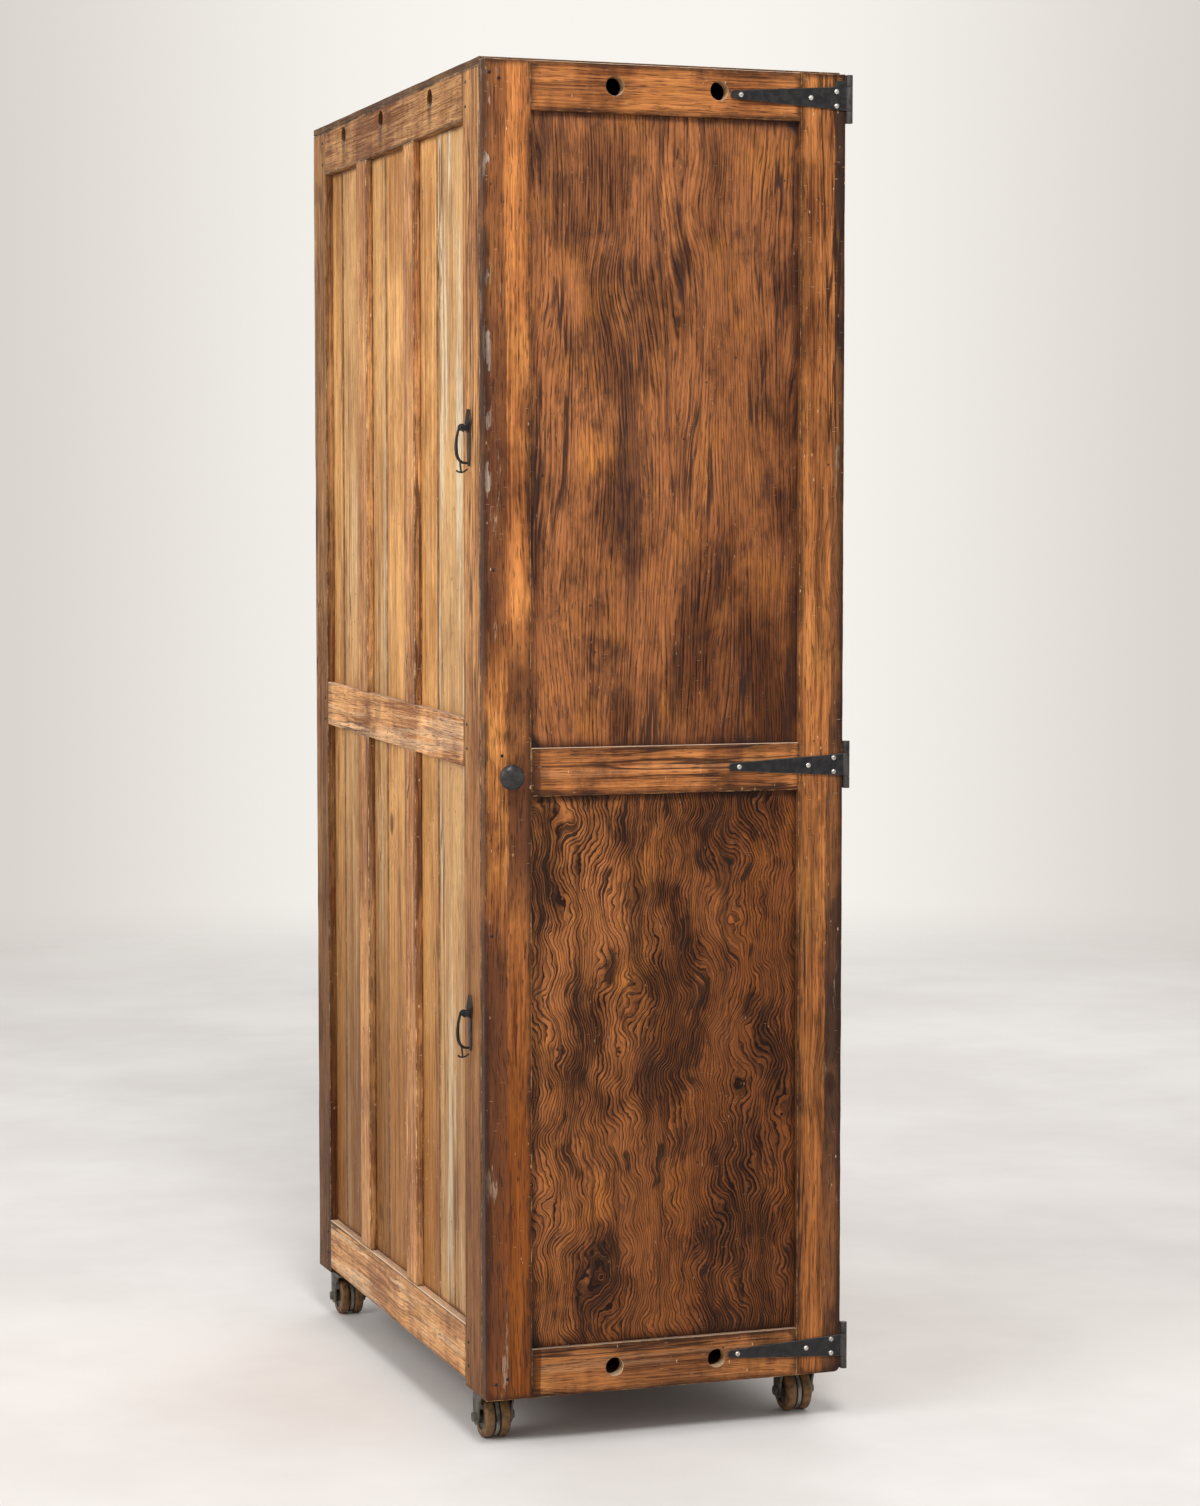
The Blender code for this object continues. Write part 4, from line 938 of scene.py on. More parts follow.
def set_grain(bm, name, along, tone):
    """Lays the grain along an axis, with a place in the log and a tone of its own for each piece."""
    grain = bm.verts.layers.float_vector["grain"]
    look = bm.verts.layers.float_vector["tone"]
    draw = random.Random(name)
    shift = Vector([draw.uniform(0.0, LOG_SIZE) for _ in range(3)])
    for vert in bm.verts:
        vert[grain] = Vector([vert.co[axis] for axis in AXES[along]]) + shift
        vert[look] = tone


def on_line(edge, at, low, high):
    """True for an edge that lies at the low or high end of two axes."""
    ends = {"low": low, "high": high}
    return all(abs(vert.co[axis] - ends[end][axis]) < WELD for vert in edge.verts for axis, end in at)


def worn(node, material, along, tone, corners=(), edge=0.0009, wear_band=0.0028, rim_band=0.012,
         hole_shade=HOLE_SHADE, hole_tone=None):
    """Dresses a sawn piece. Corners are pairs of the ends of two axes and a radius, to round more."""
    bm = copied(node)
    low, high = limits(bm)
    for at, radius in corners:
        rounded(bm, [e for e in bm.edges if on_line(e, at, low, high)], radius, CORNER_STEPS)
    eased(bm, edge)
    bored = weather(bm, along, wear_band, rim_band, hole_shade)
    dent(bm)
    set_grain(bm, node, along, tone)
    look = bm.verts.layers.float_vector["tone"]
    for vert in bored:
        vert[look] = hole_tone or tone
    return shown(node + "_worn", bm, material, BODY_OF[node], (node,))


print("dents up to about", round(DENT_DEPTH * 1000.0, 1), "mm deep")

# %% [markdown]
# ### Wear on iron
# A forged piece is not a box, so its broad flat faces are inset instead: the strip that this leaves along
# the edges is worn, and the face inside it is not.

# %% Dress a piece of iron
BROAD = 1.2


def forged(node, material, edge, wear_band):
    bm = copied(node)
    flats = eased(bm, edge)
    wear = bm.verts.layers.float["wear"]
    for vert in bm.verts:
        vert[wear] = 1.0
    broad = [face for face in flats if face.calc_area() > BROAD * wear_band * face.calc_perimeter()]
    bmesh.ops.inset_individual(bm, faces=broad, thickness=wear_band, use_even_offset=False)
    for face in broad:
        for vert in face.verts:
            vert[wear] = 0.0
    return shown(node + "_forged", bm, material, BODY_OF[node], (node,))


print("forge ready")

# %% [markdown]
# ## The side frames and the shell
# Each side is a frame of two stiles, three rails and two muntins over upright boards. Stiles and muntins
# have their grain upright, rails have it from front to back. Every piece was cut from another plank and
# lived another life, so each has its own tone: the rear stile is dark, the muntins are as pale as the
# boards.

# %% Dress the side frames and the shell
SIDES = ("left", "right")
SIDE_TONES = {
    "front_stile": (1.18, 0.0, 0.45),
    "rear_stile": (0.8, 0.0, 0.4),
    "top_rail": (0.93, 0.0, 0.4),
    "mid_rail": (1.5, 0.1, 0.05),
    "bottom_rail": (1.5, 0.15, 0.03),
    "front_muntin": (1.55, 0.05, 0.05),
    "rear_muntin": (1.45, 0.05, 0.08),
}
SHELL = {
    "top_board": ("Y", (0.72, 0.2, 0.5)),
    "bottom_board": ("Y", (0.8, 0.1, 0.4)),
    "back_mid_rail": ("X", (0.85, 0.1, 0.3)),
}
FRAME_RIM = 0.006

frame_pieces = []
for side in SIDES:
    for part, tone in SIDE_TONES.items():
        along = "Y" if part.endswith("rail") else "Z"
        frame_pieces.append(worn(f"{side}_{part}", FRAME_WOOD, along, tone, rim_band=FRAME_RIM))
for node, (along, tone) in SHELL.items():
    frame_pieces.append(worn(node, FRAME_WOOD, along, tone))
print("frame pieces:", len(frame_pieces))

# %% [markdown]
# ## The boards behind the frames
# The panels are upright boards, tongued together, with a fine open joint where each meets the next. In the
# model a panel is one solid with grooves. Here each board is its own block with eased and dented edges, its
# own grain and its own tone, so that no two look alike, and the boards of one panel form one piece.

# %% Make a board
BOARD_GAP = 0.0006
BOARD_EDGE = 0.0012
BOARD_WEAR = 0.0025
BOARD_RIM = 0.01


def block(bm, low, high):
    """Adds a box between two corners."""
    place = Matrix.Translation((low + high) / 2.0) @ Matrix.Diagonal((*(high - low), 1.0))
    bmesh.ops.create_cube(bm, size=1.0, matrix=place)


def board(low, high, name, tone):
    """One upright board with eased edges."""
    bm = add_layers(bmesh.new())
    block(bm, low, high)
    eased(bm, BOARD_EDGE)
    weather(bm, "Z", BOARD_WEAR, BOARD_RIM)
    dent(bm)
    set_grain(bm, name, "Z", tone)
    return bm


def gathered(parts):
    """Puts several shapes into one bmesh."""
    whole = add_layers(bmesh.new())
    for part in parts:
        passing = bpy.data.meshes.new("passing")
        part.to_mesh(passing)
        part.free()
        whole.from_mesh(passing)
        bpy.data.meshes.remove(passing)
    return whole


print("board joints are", BOARD_GAP * 1000.0, "mm open")

# %% Build the board panels
SIDE_JOINTS = (0.0, 0.216, 0.578, 0.914, 1.0)
BACK_JOINTS = (0.0, 0.2, 0.4, 0.6, 0.8, 1.0)
SIDE_BOARD_TONES = ((1.1, 0.5, 0.08), (1.33, 0.06, 0.26), (1.12, 0.3, 0.36), (1.14, 0.06, 0.44))
BACK_BOARD_TONES = ((0.8, 0.3, 0.3), (0.72, 0.4, 0.35), (0.85, 0.25, 0.25), (0.75, 0.3, 0.4),
                    (0.8, 0.35, 0.3))


def board_panel(node, across, joints, tones):
    low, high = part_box(node)
    width = high[across] - low[across]
    boards = []
    for number, tone in enumerate(tones):
        first = low.copy()
        last = high.copy()
        first[across] = low[across] + joints[number] * width + BOARD_GAP / 2.0
        last[across] = low[across] + joints[number + 1] * width - BOARD_GAP / 2.0
        boards.append(board(first, last, f"{node}{number}", tone))
    return shown(node + "_worn", gathered(boards), SIDE_BOARDS, BODY_OF[node], (node,))


panels = [board_panel(f"{side}_boards", 1, SIDE_JOINTS, SIDE_BOARD_TONES) for side in SIDES]
panels.append(board_panel("back_boards", 0, BACK_JOINTS, BACK_BOARD_TONES))
print("board panels:", [panel.name for panel in panels])

# %% [markdown]
# ## The door
# The door is a frame with two veneered panels that sit in grooves. Rails run across, stiles run up. Its
# outer edges are rounded more than the rest, and the right foot most. The walls of its vents are bare, pale
# wood, made paler still as painted light where the lamps barely reach. The panels' rims lie deep in the
# frame, and a wide rim of painted shade darkens them there.

# %% Dress the door
FRONT_LEFT = ((0, "low"), (1, "low"))
FRONT_RIGHT = ((0, "high"), (1, "low"))
FOOT_RIGHT = ((0, "high"), (2, "low"))
EDGE_RADIUS = 0.003
FOOT_RADIUS = 0.009
# Vent walls are bare wood, made paler still as painted light, for walls the lamps barely reach.
BARE_BORE_AND_PAINTED_LIGHT = (1.25, 0.9, 0.0)
DOOR_PIECES = {
    "left_stile": ("Z", (1.3, 0.0, 0.15), ((FRONT_LEFT, EDGE_RADIUS),)),
    "right_stile": ("Z", (1.08, 0.0, 0.15), ((FOOT_RIGHT, FOOT_RADIUS), (FRONT_RIGHT, EDGE_RADIUS))),
    "top_rail": ("X", (1.13, 0.0, 0.2), ()),
    "mid_rail": ("X", (1.18, 0.02, 0.1), ()),
    "bottom_rail": ("X", (0.9, 0.04, 0.2), ()),
}
PANEL_TONE = (1.12, 0.0, 0.1)
# The wide rim band darkens the panels' edges as painted shade of the frame's recess.
PANEL_EDGES = {"edge": 0.0006, "wear_band": 0.002, "rim_band": 0.026}

for part, (along, tone, corners) in DOOR_PIECES.items():
    worn(f"door_{part}", DOOR_WOOD, along, tone, corners, hole_shade=0.0, hole_tone=BARE_BORE_AND_PAINTED_LIGHT)
worn("door_upper_panel", UPPER_PANEL, "Z", PANEL_TONE, **PANEL_EDGES)
worn("door_lower_panel", LOWER_PANEL, "Z", PANEL_TONE, **PANEL_EDGES)
print("door pieces:", len(DOOR_PIECES) + 2)

# %% [markdown]
# ## A lathe for knobs, wheels and screws
# Round pieces are turned: a half section, given as distance along the axis and radius, is spun round the
# axis. A cylinder with bevels would do for the simplest of them, but a section can be drawn like the real
# thing. A screw's head is a low dome with a hollow in its middle. All the screws of one hinge part are one
# piece.

# %% Turn a half section
TURN_STEPS = 48
SMALL_STEPS = 20
HEAD_HEIGHT = 0.5
HEAD_SUNK = 0.2
DOME_TURNS = (0.0, 0.45, 0.9, 1.2)
HEAD_HOLLOW = ((0.45, 0.2), (0.4, 0.0))


def quarter_turn(steps):
    return [math.pi / 2.0 * step / steps for step in range(steps + 1)]


def turned(bm, profile, centre, axis, steps=TURN_STEPS):
    """Spins (distance along the axis, radius) pairs round an axis through the centre."""
    axis = Vector(axis).normalized()
    centre = Vector(centre)
    out = axis.orthogonal().normalized()
    verts = [bm.verts.new(centre + axis * along + out * radius) for along, radius in profile]
    edges = [bm.edges.new(pair) for pair in zip(verts, verts[1:])]
    bmesh.ops.spin(bm, geom=verts + edges, cent=centre, axis=axis, angle=2.0 * math.pi,
                   steps=steps, use_merge=True)
    bmesh.ops.remove_doubles(bm, verts=bm.verts, dist=WELD)
    bmesh.ops.recalc_face_normals(bm, faces=bm.faces)


def screw_head(radius):
    height = HEAD_HEIGHT * radius
    sunk = -HEAD_SUNK * height
    dome = [(height * math.sin(turn), radius * math.cos(turn)) for turn in DOME_TURNS]
    hollow = [(rise * height, reach * radius) for rise, reach in HEAD_HOLLOW]
    return [(sunk, 0.0), (sunk, radius)] + dome + hollow


def heads(name, places, axis, radius, body, material):
    bm = add_layers(bmesh.new())
    for place in places:
        turned(bm, screw_head(radius), place, axis, SMALL_STEPS)
    return shown(name, bm, material, body)


print("lathe ready, with", TURN_STEPS, "steps to a turn")

# %% [markdown]
# ## The hinges
# Each hinge is a T: a tapered strap on the door's face and a short leaf on the cabinet's side. Both are
# forged plate, so their edges are only just eased. The strap has two screws along its length and a pair at
# its wide end; the leaf has three.

# %% Dress the hinges
HINGE_EDGE = 0.0005
HINGE_WEAR = 0.0012
SCREW_RADIUS = 0.0036
STRAP_SCREWS = ((0.0145, 0.0), (0.1145, 0.0), (0.1515, -0.0095), (0.1515, 0.0095))
LEAF_SCREWS = ((0.026, 0.021), (0.026, -0.021), (0.04, 0.0))
BARREL_ZONE = 0.03

for level in ("top", "middle", "bottom"):
    strap = f"hinge_{level}_strap"
    leaf = f"hinge_{level}_leaf"
    forged(strap, BLACK_IRON, HINGE_EDGE, HINGE_WEAR)
    forged(leaf, BLACK_IRON, HINGE_EDGE, HINGE_WEAR)
    low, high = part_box(leaf)
    middle = (low.z + high.z) / 2.0
    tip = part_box(strap)[0].x
    face = min(v.co.y for v in NODES[strap].data.vertices if v.co.x < high.x - BARREL_ZONE)
    places = [(tip + reach, face, middle + rise) for reach, rise in STRAP_SCREWS]
    heads(strap + "_screws", places, (0, -1, 0), SCREW_RADIUS, "door", STEEL)
    outside = max(v.co.x for v in NODES[leaf].data.vertices if v.co.y > low.y + BARREL_ZONE)
    places = [(outside, low.y + reach, middle + rise) for reach, rise in LEAF_SCREWS]
    heads(leaf + "_screws", places, (1, 0, 0), SCREW_RADIUS, "carcass", STEEL)
print("three hinges, each with", len(STRAP_SCREWS) + len(LEAF_SCREWS), "screws")

# %% [markdown]
# ## The knob
# The knob is a turned black mushroom with a small bright rivet in its crown. The half section follows the
# packed knob's sizes, with a rounder crown and rim than the solid has. Behind the door it turns a plain
# iron tongue.

# %% Turn the knob
KNOB_LOW, KNOB_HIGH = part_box("latch_knob")
KNOB_LENGTH = KNOB_HIGH.y - KNOB_LOW.y
KNOB_RADIUS = (KNOB_HIGH.z - KNOB_LOW.z) / 2.0
KNOB_AXIS = ((KNOB_LOW.x + KNOB_HIGH.x) / 2.0, KNOB_LOW.y, KNOB_LEVEL)
DOOR_FACE = DOOR_LOW.y
KNOB_PLAY = 0.0003
KNOB_SEAT = DOOR_FACE - KNOB_LOW.y - KNOB_PLAY
KNOB_CROWN = 0.0077
CROWN_STEPS = 9
NECK_RADIUS = 0.0088
BASE_RADIUS = 0.0105
SPINDLE_RADIUS = 0.004
KNOB_UNDER = [(0.0092, 0.0168), (0.0104, 0.0158), (0.0122, 0.0128), (0.0148, 0.0096), (0.019, NECK_RADIUS)]
KNOB_FOOT = [(0.0235, NECK_RADIUS), (0.0255, 0.0101), (0.0265, BASE_RADIUS), (KNOB_SEAT, BASE_RADIUS)]
RIVET = [(0.0, 0.0), (0.0004, 0.00119), (0.0012, 0.0017), (0.0022, 0.0017), (0.0022, 0.0)]
SMALL_EDGE = 0.0004
SMALL_WEAR = 0.001

crown = [(KNOB_CROWN * (1.0 - math.cos(turn)), KNOB_RADIUS * math.sin(turn))
         for turn in quarter_turn(CROWN_STEPS)]
spindle = [(KNOB_SEAT, SPINDLE_RADIUS), (KNOB_LENGTH, SPINDLE_RADIUS), (KNOB_LENGTH, 0.0)]
bm = add_layers(bmesh.new())
turned(bm, crown + KNOB_UNDER + KNOB_FOOT + spindle, KNOB_AXIS, (0, 1, 0))
shown("latch_knob_turned", bm, KNOB_BLACK, BODY_OF["latch_knob"], ("latch_knob",))
bm = add_layers(bmesh.new())
turned(bm, RIVET, KNOB_AXIS, (0, 1, 0), SMALL_STEPS)
shown("latch_knob_rivet", bm, BRASS_DOT, BODY_OF["latch_knob"])
forged("latch_tongue", BLACK_IRON, SMALL_EDGE, SMALL_WEAR)
print("knob", round(KNOB_RADIUS * 2000.0, 1), "mm across")

# %% [markdown]
# ## Rods and spears
# Two black iron fittings hang on the left side's front stile. Each has a spear-headed plate and a bail that
# is forged from one rod. A rod of changing thickness is a bevelled curve with a radius at each point, so
# the rods are drawn as curves and turned into meshes. The spear is a flat outline that is extruded and then
# poked up to a ridge.

# %% Draw rods and spears
ROD_SIDES = 4
SPEAR_OUTLINE = ((0.0, 0.025), (0.0055, 0.016), (0.010, 0.0075), (0.0075, 0.001), (0.0048, -0.006))
SPEAR_THICK = 0.0014
SPEAR_RIDGE = 0.0028
FACING = -0.9


def rod(points, radius, swells):
    """A round rod along points, with its radius swelled at each of them."""
    curve = bpy.data.curves.new("rod", "CURVE")
    curve.dimensions = "3D"
    curve.bevel_depth = radius
    curve.bevel_resolution = ROD_SIDES
    curve.use_fill_caps = True
    line = curve.splines.new("POLY")
    line.points.add(len(points) - 1)
    for spot, point, swell in zip(line.points, points, swells):
        spot.co = (*point, 1.0)
        spot.radius = swell
    holder = bpy.data.objects.new("rod", curve)
    bm = add_layers(bmesh.new())
    bm.from_mesh(holder.to_mesh())
    bpy.data.objects.remove(holder)
    bpy.data.curves.remove(curve)
    bmesh.ops.remove_doubles(bm, verts=bm.verts, dist=WELD)
    bmesh.ops.recalc_face_normals(bm, faces=bm.faces)
    return bm


def spear(pin, back):
    """A spear head over the pin, with its back at x = back and its ridge towards the viewer."""
    bm = add_layers(bmesh.new())
    right = [(back, pin.y + across, pin.z + rise) for across, rise in SPEAR_OUTLINE]
    left = [(back, pin.y - across, pin.z + rise) for across, rise in reversed(SPEAR_OUTLINE[1:])]
    outline = bm.faces.new([bm.verts.new(point) for point in right + left])
    sides = bmesh.ops.extrude_face_region(bm, geom=[outline])["geom"]
    raised = [item for item in sides if isinstance(item, bmesh.types.BMVert)]
    bmesh.ops.translate(bm, verts=raised, vec=(-SPEAR_THICK, 0.0, 0.0))
    bmesh.ops.recalc_face_normals(bm, faces=bm.faces)
    front = [face for face in bm.faces if face.normal.x < FACING]
    bmesh.ops.poke(bm, faces=front, offset=SPEAR_RIDGE)
    return bm


print("spear", round((SPEAR_OUTLINE[0][1] - SPEAR_OUTLINE[-1][1]) * 1000.0), "mm long")

# %% [markdown]
# ## The bail pulls
# The bail's rod makes an eye round the pin, a bow that swells where the hand holds it, and a foot that
# comes back to the plate. A small anchor hangs below it, of two thinner rods. All points are given from the
# pin, as distance out from the side and height, so both pulls use the same ones.

# %% Dress the bail pulls
JOINTS = {joint["name"]: joint for joint in RECORD["behaviour"]["joints"]}
BAIL_EYE = 0.0041
EYE_TURNS = range(-80, 181, 20)
BOW = ((-0.0056, -0.006), (-0.0071, -0.013), (-0.0078, -0.021), (-0.0078, -0.028), (-0.0071, -0.0345),
       (-0.0054, -0.0395), (-0.0027, -0.0432), (0.0008, -0.0454), (0.0046, -0.046), (0.0080, -0.046))
BOW_SWELL = (1.0, 1.15, 1.35, 1.45, 1.4, 1.3, 1.2, 1.1, 1.0, 0.95)
STEM = ((-0.0027, -0.0432), (-0.0021, -0.0485), (-0.0015, -0.0535), (-0.0010, -0.0578))
FLUKES = ((-0.0076, -0.0556), (-0.0050, -0.0576), (-0.0010, -0.0584), (0.0034, -0.0572), (0.0076, -0.0540))
BAIL_RADIUS = 0.0017
ANCHOR_RADIUS = 0.0012


def from_pin(pin, points):
    return [pin + Vector((x, 0.0, z)) for x, z in points]


eye = [(BAIL_EYE * math.cos(math.radians(turn)), BAIL_EYE * math.sin(math.radians(turn)))
       for turn in EYE_TURNS]
for level in ("upper", "lower"):
    pin = Vector(JOINTS[f"pull_{level}_swing"]["pos_m"])
    plate = f"pull_{level}_plate"
    bail = f"pull_{level}_bail"
    forged(plate, BLACK_IRON, SMALL_EDGE, SMALL_WEAR)
    head = spear(pin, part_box(bail)[1].x)
    shown(plate + "_spear", head, BLACK_IRON, BODY_OF[plate])
    bm = rod(from_pin(pin, eye + list(BOW)), BAIL_RADIUS, (1.0,) * len(eye) + BOW_SWELL)
    shown(bail + "_drawn", bm, BLACK_IRON, BODY_OF[bail], (bail,))
    arms = [rod(from_pin(pin, arm), ANCHOR_RADIUS, (1.0,) * len(arm)) for arm in (STEM, FLUKES)]
    shown(bail + "_anchor", gathered(arms), BLACK_IRON, BODY_OF[bail])
print("two bail pulls, each rod drawn through", len(eye) + len(BOW), "points")

# %% [markdown]
# ## The wheels
# A caster's wheel is turned again in two pieces: a dark iron body with the hub, the webs and a bare disc in
# the middle, and a pair of tan treads with round shoulders. The disc between the treads has been rubbed
# bright.

# %% Draw the wheel's sections
WHEEL_RADIUS = 0.0285
TREAD_INNER = 0.0045
TREAD_OUTER = 0.0175
TREAD_FLOOR = 0.0180
SHOULDER = 0.0032
SHOULDER_STEPS = 5
HUB_END = 0.0217
HUB_RADIUS = 0.009
HUB_EASE = 0.001
BORE_RADIUS = 0.0045
DISC_HALF = 0.0025
DISC_RADIUS = 0.0266
DISC_EASE = 0.0004
WEB = 0.0160
WEB_RADIUS = 0.0195


def tread_profile():
    """Closed half section of one tread, round at both shoulders."""
    crown = WHEEL_RADIUS - SHOULDER
    inner = [(TREAD_INNER + SHOULDER * (1.0 - math.cos(turn)), crown + SHOULDER * math.sin(turn))
             for turn in quarter_turn(SHOULDER_STEPS)]
    outer = [(TREAD_INNER + TREAD_OUTER - along, height) for along, height in reversed(inner)]
    bed = [(TREAD_OUTER, TREAD_FLOOR), (TREAD_INNER, TREAD_FLOOR)]
    return bed[1:] + inner + outer + bed


def body_profile():
    """Closed half section of the wheel's body: hub, web, slot and bare disc, mirrored."""
    disc = [(0.0, DISC_RADIUS), (DISC_HALF, DISC_RADIUS - DISC_EASE), (DISC_HALF, WEB_RADIUS)]
    web = [(WEB, WEB_RADIUS), (WEB, HUB_RADIUS + HUB_EASE), (WEB + HUB_EASE, HUB_RADIUS)]
    half = disc + web + [(HUB_END, HUB_RADIUS), (HUB_END, BORE_RADIUS)]
    mirrored = [(-along, height) for along, height in reversed(half)]
    return mirrored + half[1:] + [mirrored[0]]


print("wheel", WHEEL_RADIUS * 2000.0, "mm across")

# %% [markdown]
# ## The casters
# Each caster has a plate, a pressed yoke and a wheel. Plate and yoke are forged like the hinges. The
# wheel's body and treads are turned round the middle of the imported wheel, which the treads stand for.

# %% Dress the casters
CORNERS = ("front_left", "front_right", "rear_left", "rear_right")
CASTER_EDGE = 0.0006
CASTER_WEAR = 0.0014


def wheel(node):
    low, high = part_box(node)
    centre = (low + high) / 2.0
    body = add_layers(bmesh.new())
    turned(body, body_profile(), centre, (1, 0, 0))
    wear = body.verts.layers.float["wear"]
    for vert in body.verts:
        bare = abs(vert.co.x - centre.x) < DISC_HALF + WELD and (vert.co - centre).length > WEB_RADIUS
        vert[wear] = 1.0 if bare else 0.0
    shown(node + "_body", body, WHEEL_CORE, BODY_OF[node])
    treads = add_layers(bmesh.new())
    for side in (-1.0, 1.0):
        turned(treads, tread_profile(), centre, (side, 0, 0))
    shown(node + "_treads", treads, WHEEL_TREAD, BODY_OF[node], (node,))


for corner in CORNERS:
    for part in ("plate", "fork"):
        forged(f"caster_{corner}_{part}", CASTER_IRON, CASTER_EDGE, CASTER_WEAR)
    wheel(f"caster_{corner}_wheel")
print("casters:", len(CORNERS))

# %% [markdown]
# ## Nails
# The frame joints were nailed as well as glued. The heads have gone black, and each sits a little proud at
# a joint: two where every rail meets a stile, a few down the door's left edge, and one screw above the
# knob. They are turned like the screws, and the nails of one side are one piece.

# %% Drive the nails
NAIL_RADIUS = 0.0023
NAIL_PAIR = 0.016
NAIL_INSET = 0.014
DOOR_NAILS = ((0.008, 1.742), (0.021, 1.735), (0.012, 1.100), (0.009, 0.620), (0.014, 0.022), (0.030, 0.028))
KNOB_SCREW = (0.0237, 0.857)


def side_nails(side, outward):
    places = []
    for rail in ("top_rail", "mid_rail", "bottom_rail"):
        low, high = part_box(f"{side}_{rail}")
        middle = (low.z + high.z) / 2.0
        for stile in ("front_stile", "rear_stile"):
            near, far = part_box(f"{side}_{stile}")
            y = far.y - NAIL_INSET if stile == "front_stile" else near.y + NAIL_INSET
            x = near.x if outward < 0.0 else far.x
            places += [(x, y, middle + rise) for rise in (-NAIL_PAIR, NAIL_PAIR)]
    heads(f"{side}_frame_nails", places, (outward, 0, 0), NAIL_RADIUS, "carcass", BLACK_IRON)
    return len(places)


driven = side_nails("left", -1.0) + side_nails("right", 1.0)
places = [(DOOR_LOW.x + inset, DOOR_FACE, DOOR_LOW.z + rise) for inset, rise in (*DOOR_NAILS, KNOB_SCREW)]
heads("door_edge_nails", places, (0, -1, 0), NAIL_RADIUS, "door", BLACK_IRON)
print("nails driven:", driven, "in the sides and", len(DOOR_NAILS), "in the door")

# %% [markdown]
# ## The inside
# Behind the door the type cases slide on runner racks of bare wood. A case is a tray with thin dividers
# that keep the letters apart, so each tray gets a lattice of them. A tray's hollow is not a bored hole, so
# its walls get only a little painted shade.

# %% Dress the racks and the cases
CASES = 6
CASE_WALL = 0.010
CASE_FLOOR = 0.006
CASE_FRONT = 2.0 * CASE_WALL
DIVIDER = 0.003
DIVIDER_DROP = 0.008
CASE_COLUMNS = 6
CASE_ROWS = 9
RACK_TONE = (0.9, 0.0, 0.2)
CASE_TONE = (0.95, 0.0, 0.15)
DIVIDER_TONE = (0.9, 0.0, 0.1)
BARE_EDGES = {"wear_band": 0.002, "rim_band": 0.004, "hole_shade": 0.2}


def lattice(low, high):
    """Crossed thin dividers that fill the tray's hollow."""
    bm = add_layers(bmesh.new())
    for axis, count in ((0, CASE_COLUMNS), (1, CASE_ROWS)):
        step = (high[axis] - low[axis]) / count
        for number in range(1, count):
            first = low.copy()
            last = high.copy()
            first[axis] = low[axis] + number * step - DIVIDER / 2.0
            last[axis] = first[axis] + DIVIDER
            block(bm, first, last)
    return bm


for side in SIDES:
    worn(f"{side}_runner_rack", INSIDE_WOOD, "Y", RACK_TONE, **BARE_EDGES)
for number in range(1, CASES + 1):
    node = f"type_case_{number}"
    worn(node, INSIDE_WOOD, "Y", CASE_TONE, **BARE_EDGES)
    low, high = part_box(node)
    floor_corner = low + Vector((CASE_WALL, CASE_FRONT, CASE_FLOOR))
    upper_corner = high - Vector((CASE_WALL, CASE_WALL, DIVIDER_DROP))
    bm = lattice(floor_corner, upper_corner)
    set_grain(bm, node + "lattice", "Y", DIVIDER_TONE)
    shown(node + "_dividers", bm, INSIDE_WOOD, BODY_OF[node])
print("cases:", CASES, "with", CASE_COLUMNS * CASE_ROWS, "compartments each")

# %% [markdown]
# ## The floor
# A pale round floor catches the shadow. Its edge fades out, so the studio has no horizon line from any
# side, and a faint noise keeps it from looking like plastic. It belongs to the stage, not to the cabinet.

# %% Lay the floor
FLOOR_COLOUR = (0.73, 0.704, 0.684)
FLOOR_PALE = (0.82, 0.797, 0.776)
FLOOR_CLOUDS = 1.6
FLOOR_BLEND = (0.3, 0.7)
FLOOR_ROUGHNESS = 0.75
FLOOR_RADIUS = 7.0
FLOOR_SIDES = 96
FLOOR_FADE = (6.4, 3.4)

bm = bmesh.new()
bmesh.ops.create_circle(bm, cap_ends=True, segments=FLOOR_SIDES, radius=FLOOR_RADIUS)
floor_mesh = bpy.data.meshes.new("studio_floor")
bm.to_mesh(floor_mesh)
bm.free()
floor = bpy.data.objects.new("studio_floor", floor_mesh)
bpy.context.scene.collection.objects.link(floor)
graph, shader, material = new_finish("pale floor")
place = graph.add("TexCoord", {}, "Object")
faint = graph.fade(graph.noise(place, FLOOR_CLOUDS, detail=5.0, roughness=0.6), *FLOOR_BLEND)
graph.plug(graph.mix(faint, FLOOR_COLOUR, FLOOR_PALE), shader["Base Color"])
shader["Roughness"].default_value = FLOOR_ROUGHNESS
distance = graph.add("VectorMath", {0: place}, "Value", operation="LENGTH")
graph.plug(graph.fade(distance, *FLOOR_FADE), shader["Alpha"])
floor_mesh.materials.append(material)
print("floor", 2.0 * FLOOR_RADIUS, "m across")

# %% [markdown]
# ## The backdrop
# The world does two jobs. For light that falls on the cabinet it is one plain, soft colour. For rays that
# come straight from the camera, or off something shiny, it is the studio's backdrop: bright behind the
# cabinet and darker to both sides, as in the photograph. Light Path tells the two apart.

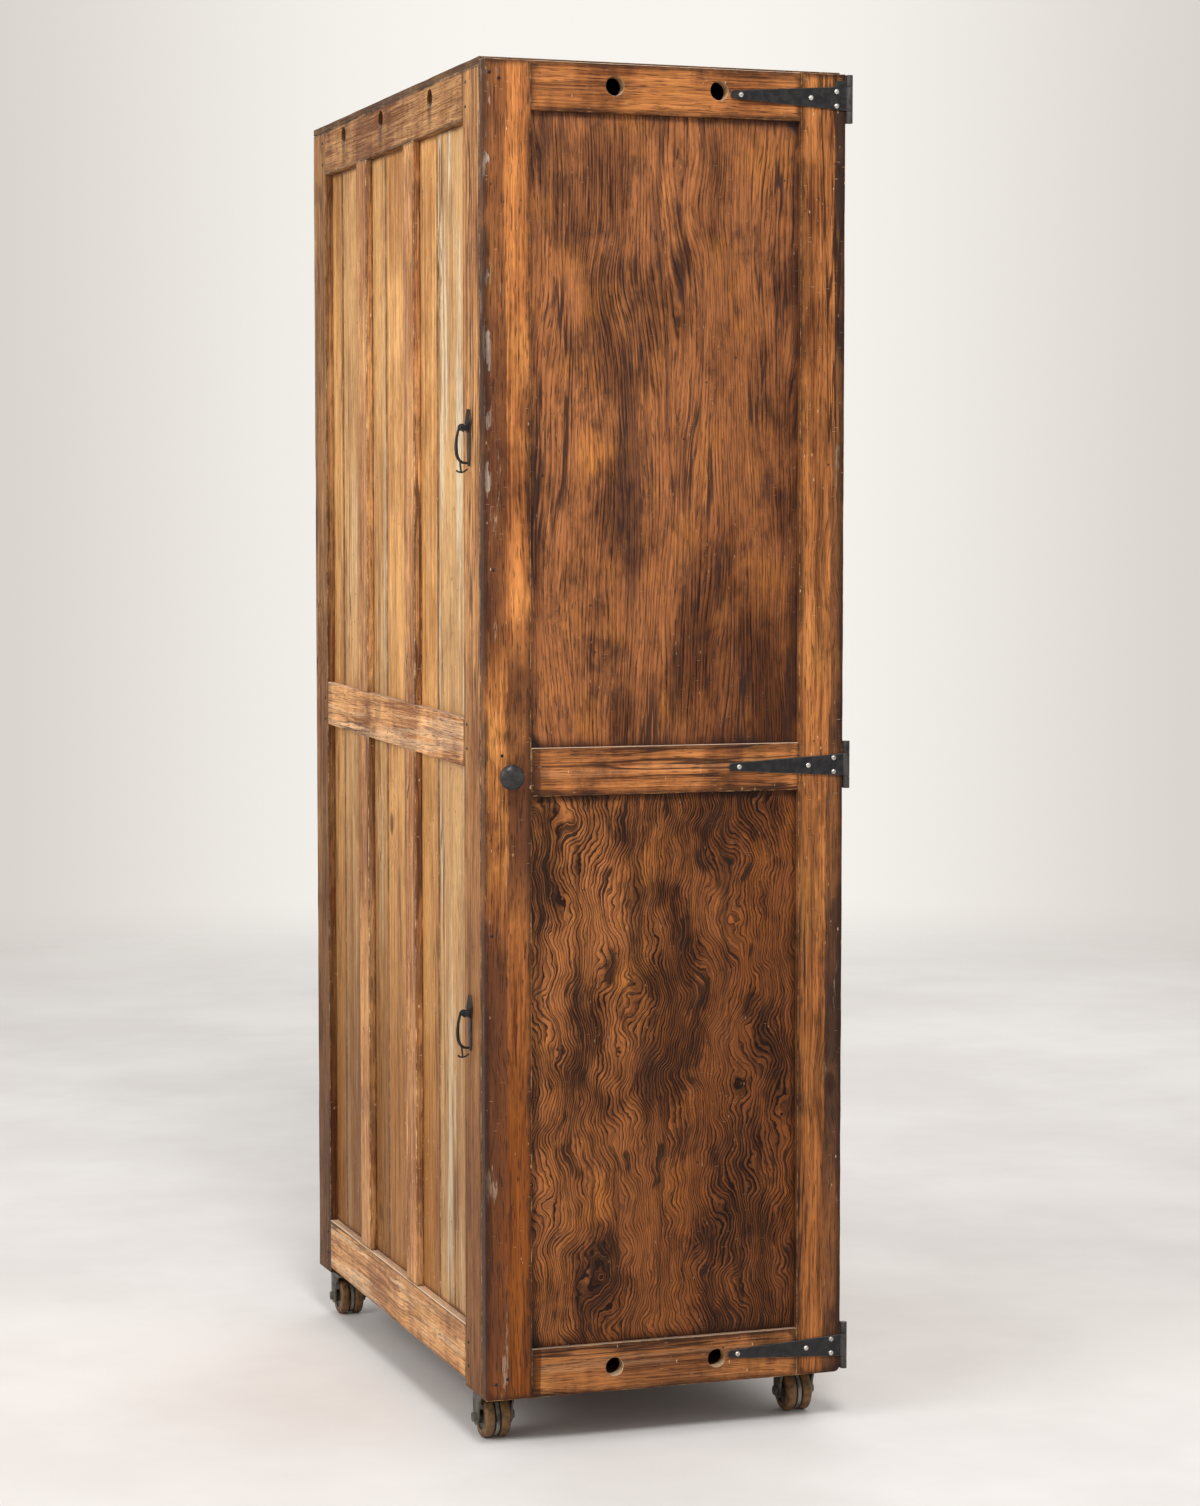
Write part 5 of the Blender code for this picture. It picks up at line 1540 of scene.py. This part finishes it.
# %% Hang the backdrop
# The bright middle and darker sides of the backdrop are a painted fall of light.
BACKDROP_GLOW = (0.945, 0.915, 0.87)
BACKDROP_RIM = (0.67, 0.63, 0.59)
GLOW_REACH = (0.21, 0.03)
AMBIENT = (1.0, 0.985, 0.965)
AMBIENT_STRENGTH = 0.62

world = bpy.data.worlds.new("studio_light")
world.use_nodes = True
bpy.context.scene.world = world
sky = Graph(world.node_tree)
path = sky.add("LightPath", {}).node.outputs
seen = sky.math("MAXIMUM", path["Is Camera Ray"], path["Is Glossy Ray"])
seen = sky.math("MAXIMUM", seen, path["Is Transmission Ray"])
ambient = sky.add("Background", {"Color": AMBIENT, "Strength": AMBIENT_STRENGTH})
sideways = camera.rotation_euler.to_matrix() @ Vector((1.0, 0.0, 0.0))
looking = sky.add("TexCoord", {}, "Generated")
aside = sky.add("VectorMath", {0: looking, 1: sideways}, "Value", operation="DOT_PRODUCT")
glow = sky.mix(sky.fade(sky.math("ABSOLUTE", aside), *GLOW_REACH), BACKDROP_RIM, BACKDROP_GLOW)
backdrop = sky.add("Background", {"Color": glow, "Strength": 1.0})
both = sky.add("MixShader", {0: seen, 1: ambient, 2: backdrop})
sky.plug(both, world.node_tree.nodes["World Output"].inputs["Surface"])
print("backdrop with", len(world.node_tree.nodes), "nodes")

# %% [markdown]
# ## The lamps
# The key lamp hangs high in front of the cabinet, near the camera's line, so the shadow falls short and
# behind. A broad, weaker one stands at the left, for the boarded side, and a faint one behind lifts the
# back.

# %% Hang the lamps
TARGET = Vector((0.0, 0.0, 0.9))
LAMPS = (
    ("key", (-0.7, -4.2, 5.2), 1.3, 186.0),
    ("side", (-4.0, -1.6, 3.0), 2.8, 98.0),
    ("back", (2.4, 3.6, 3.2), 2.6, 36.0),
)

for name, spot, size, power in LAMPS:
    lamp = bpy.data.lights.new(name, "AREA")
    lamp.size = size
    lamp.energy = power
    holder = bpy.data.objects.new(name, lamp)
    holder.location = spot
    holder.rotation_euler = (TARGET - Vector(spot)).to_track_quat("-Z", "Y").to_euler()
    bpy.context.scene.collection.objects.link(holder)
print("studio lit by", len(LAMPS), "lamps")
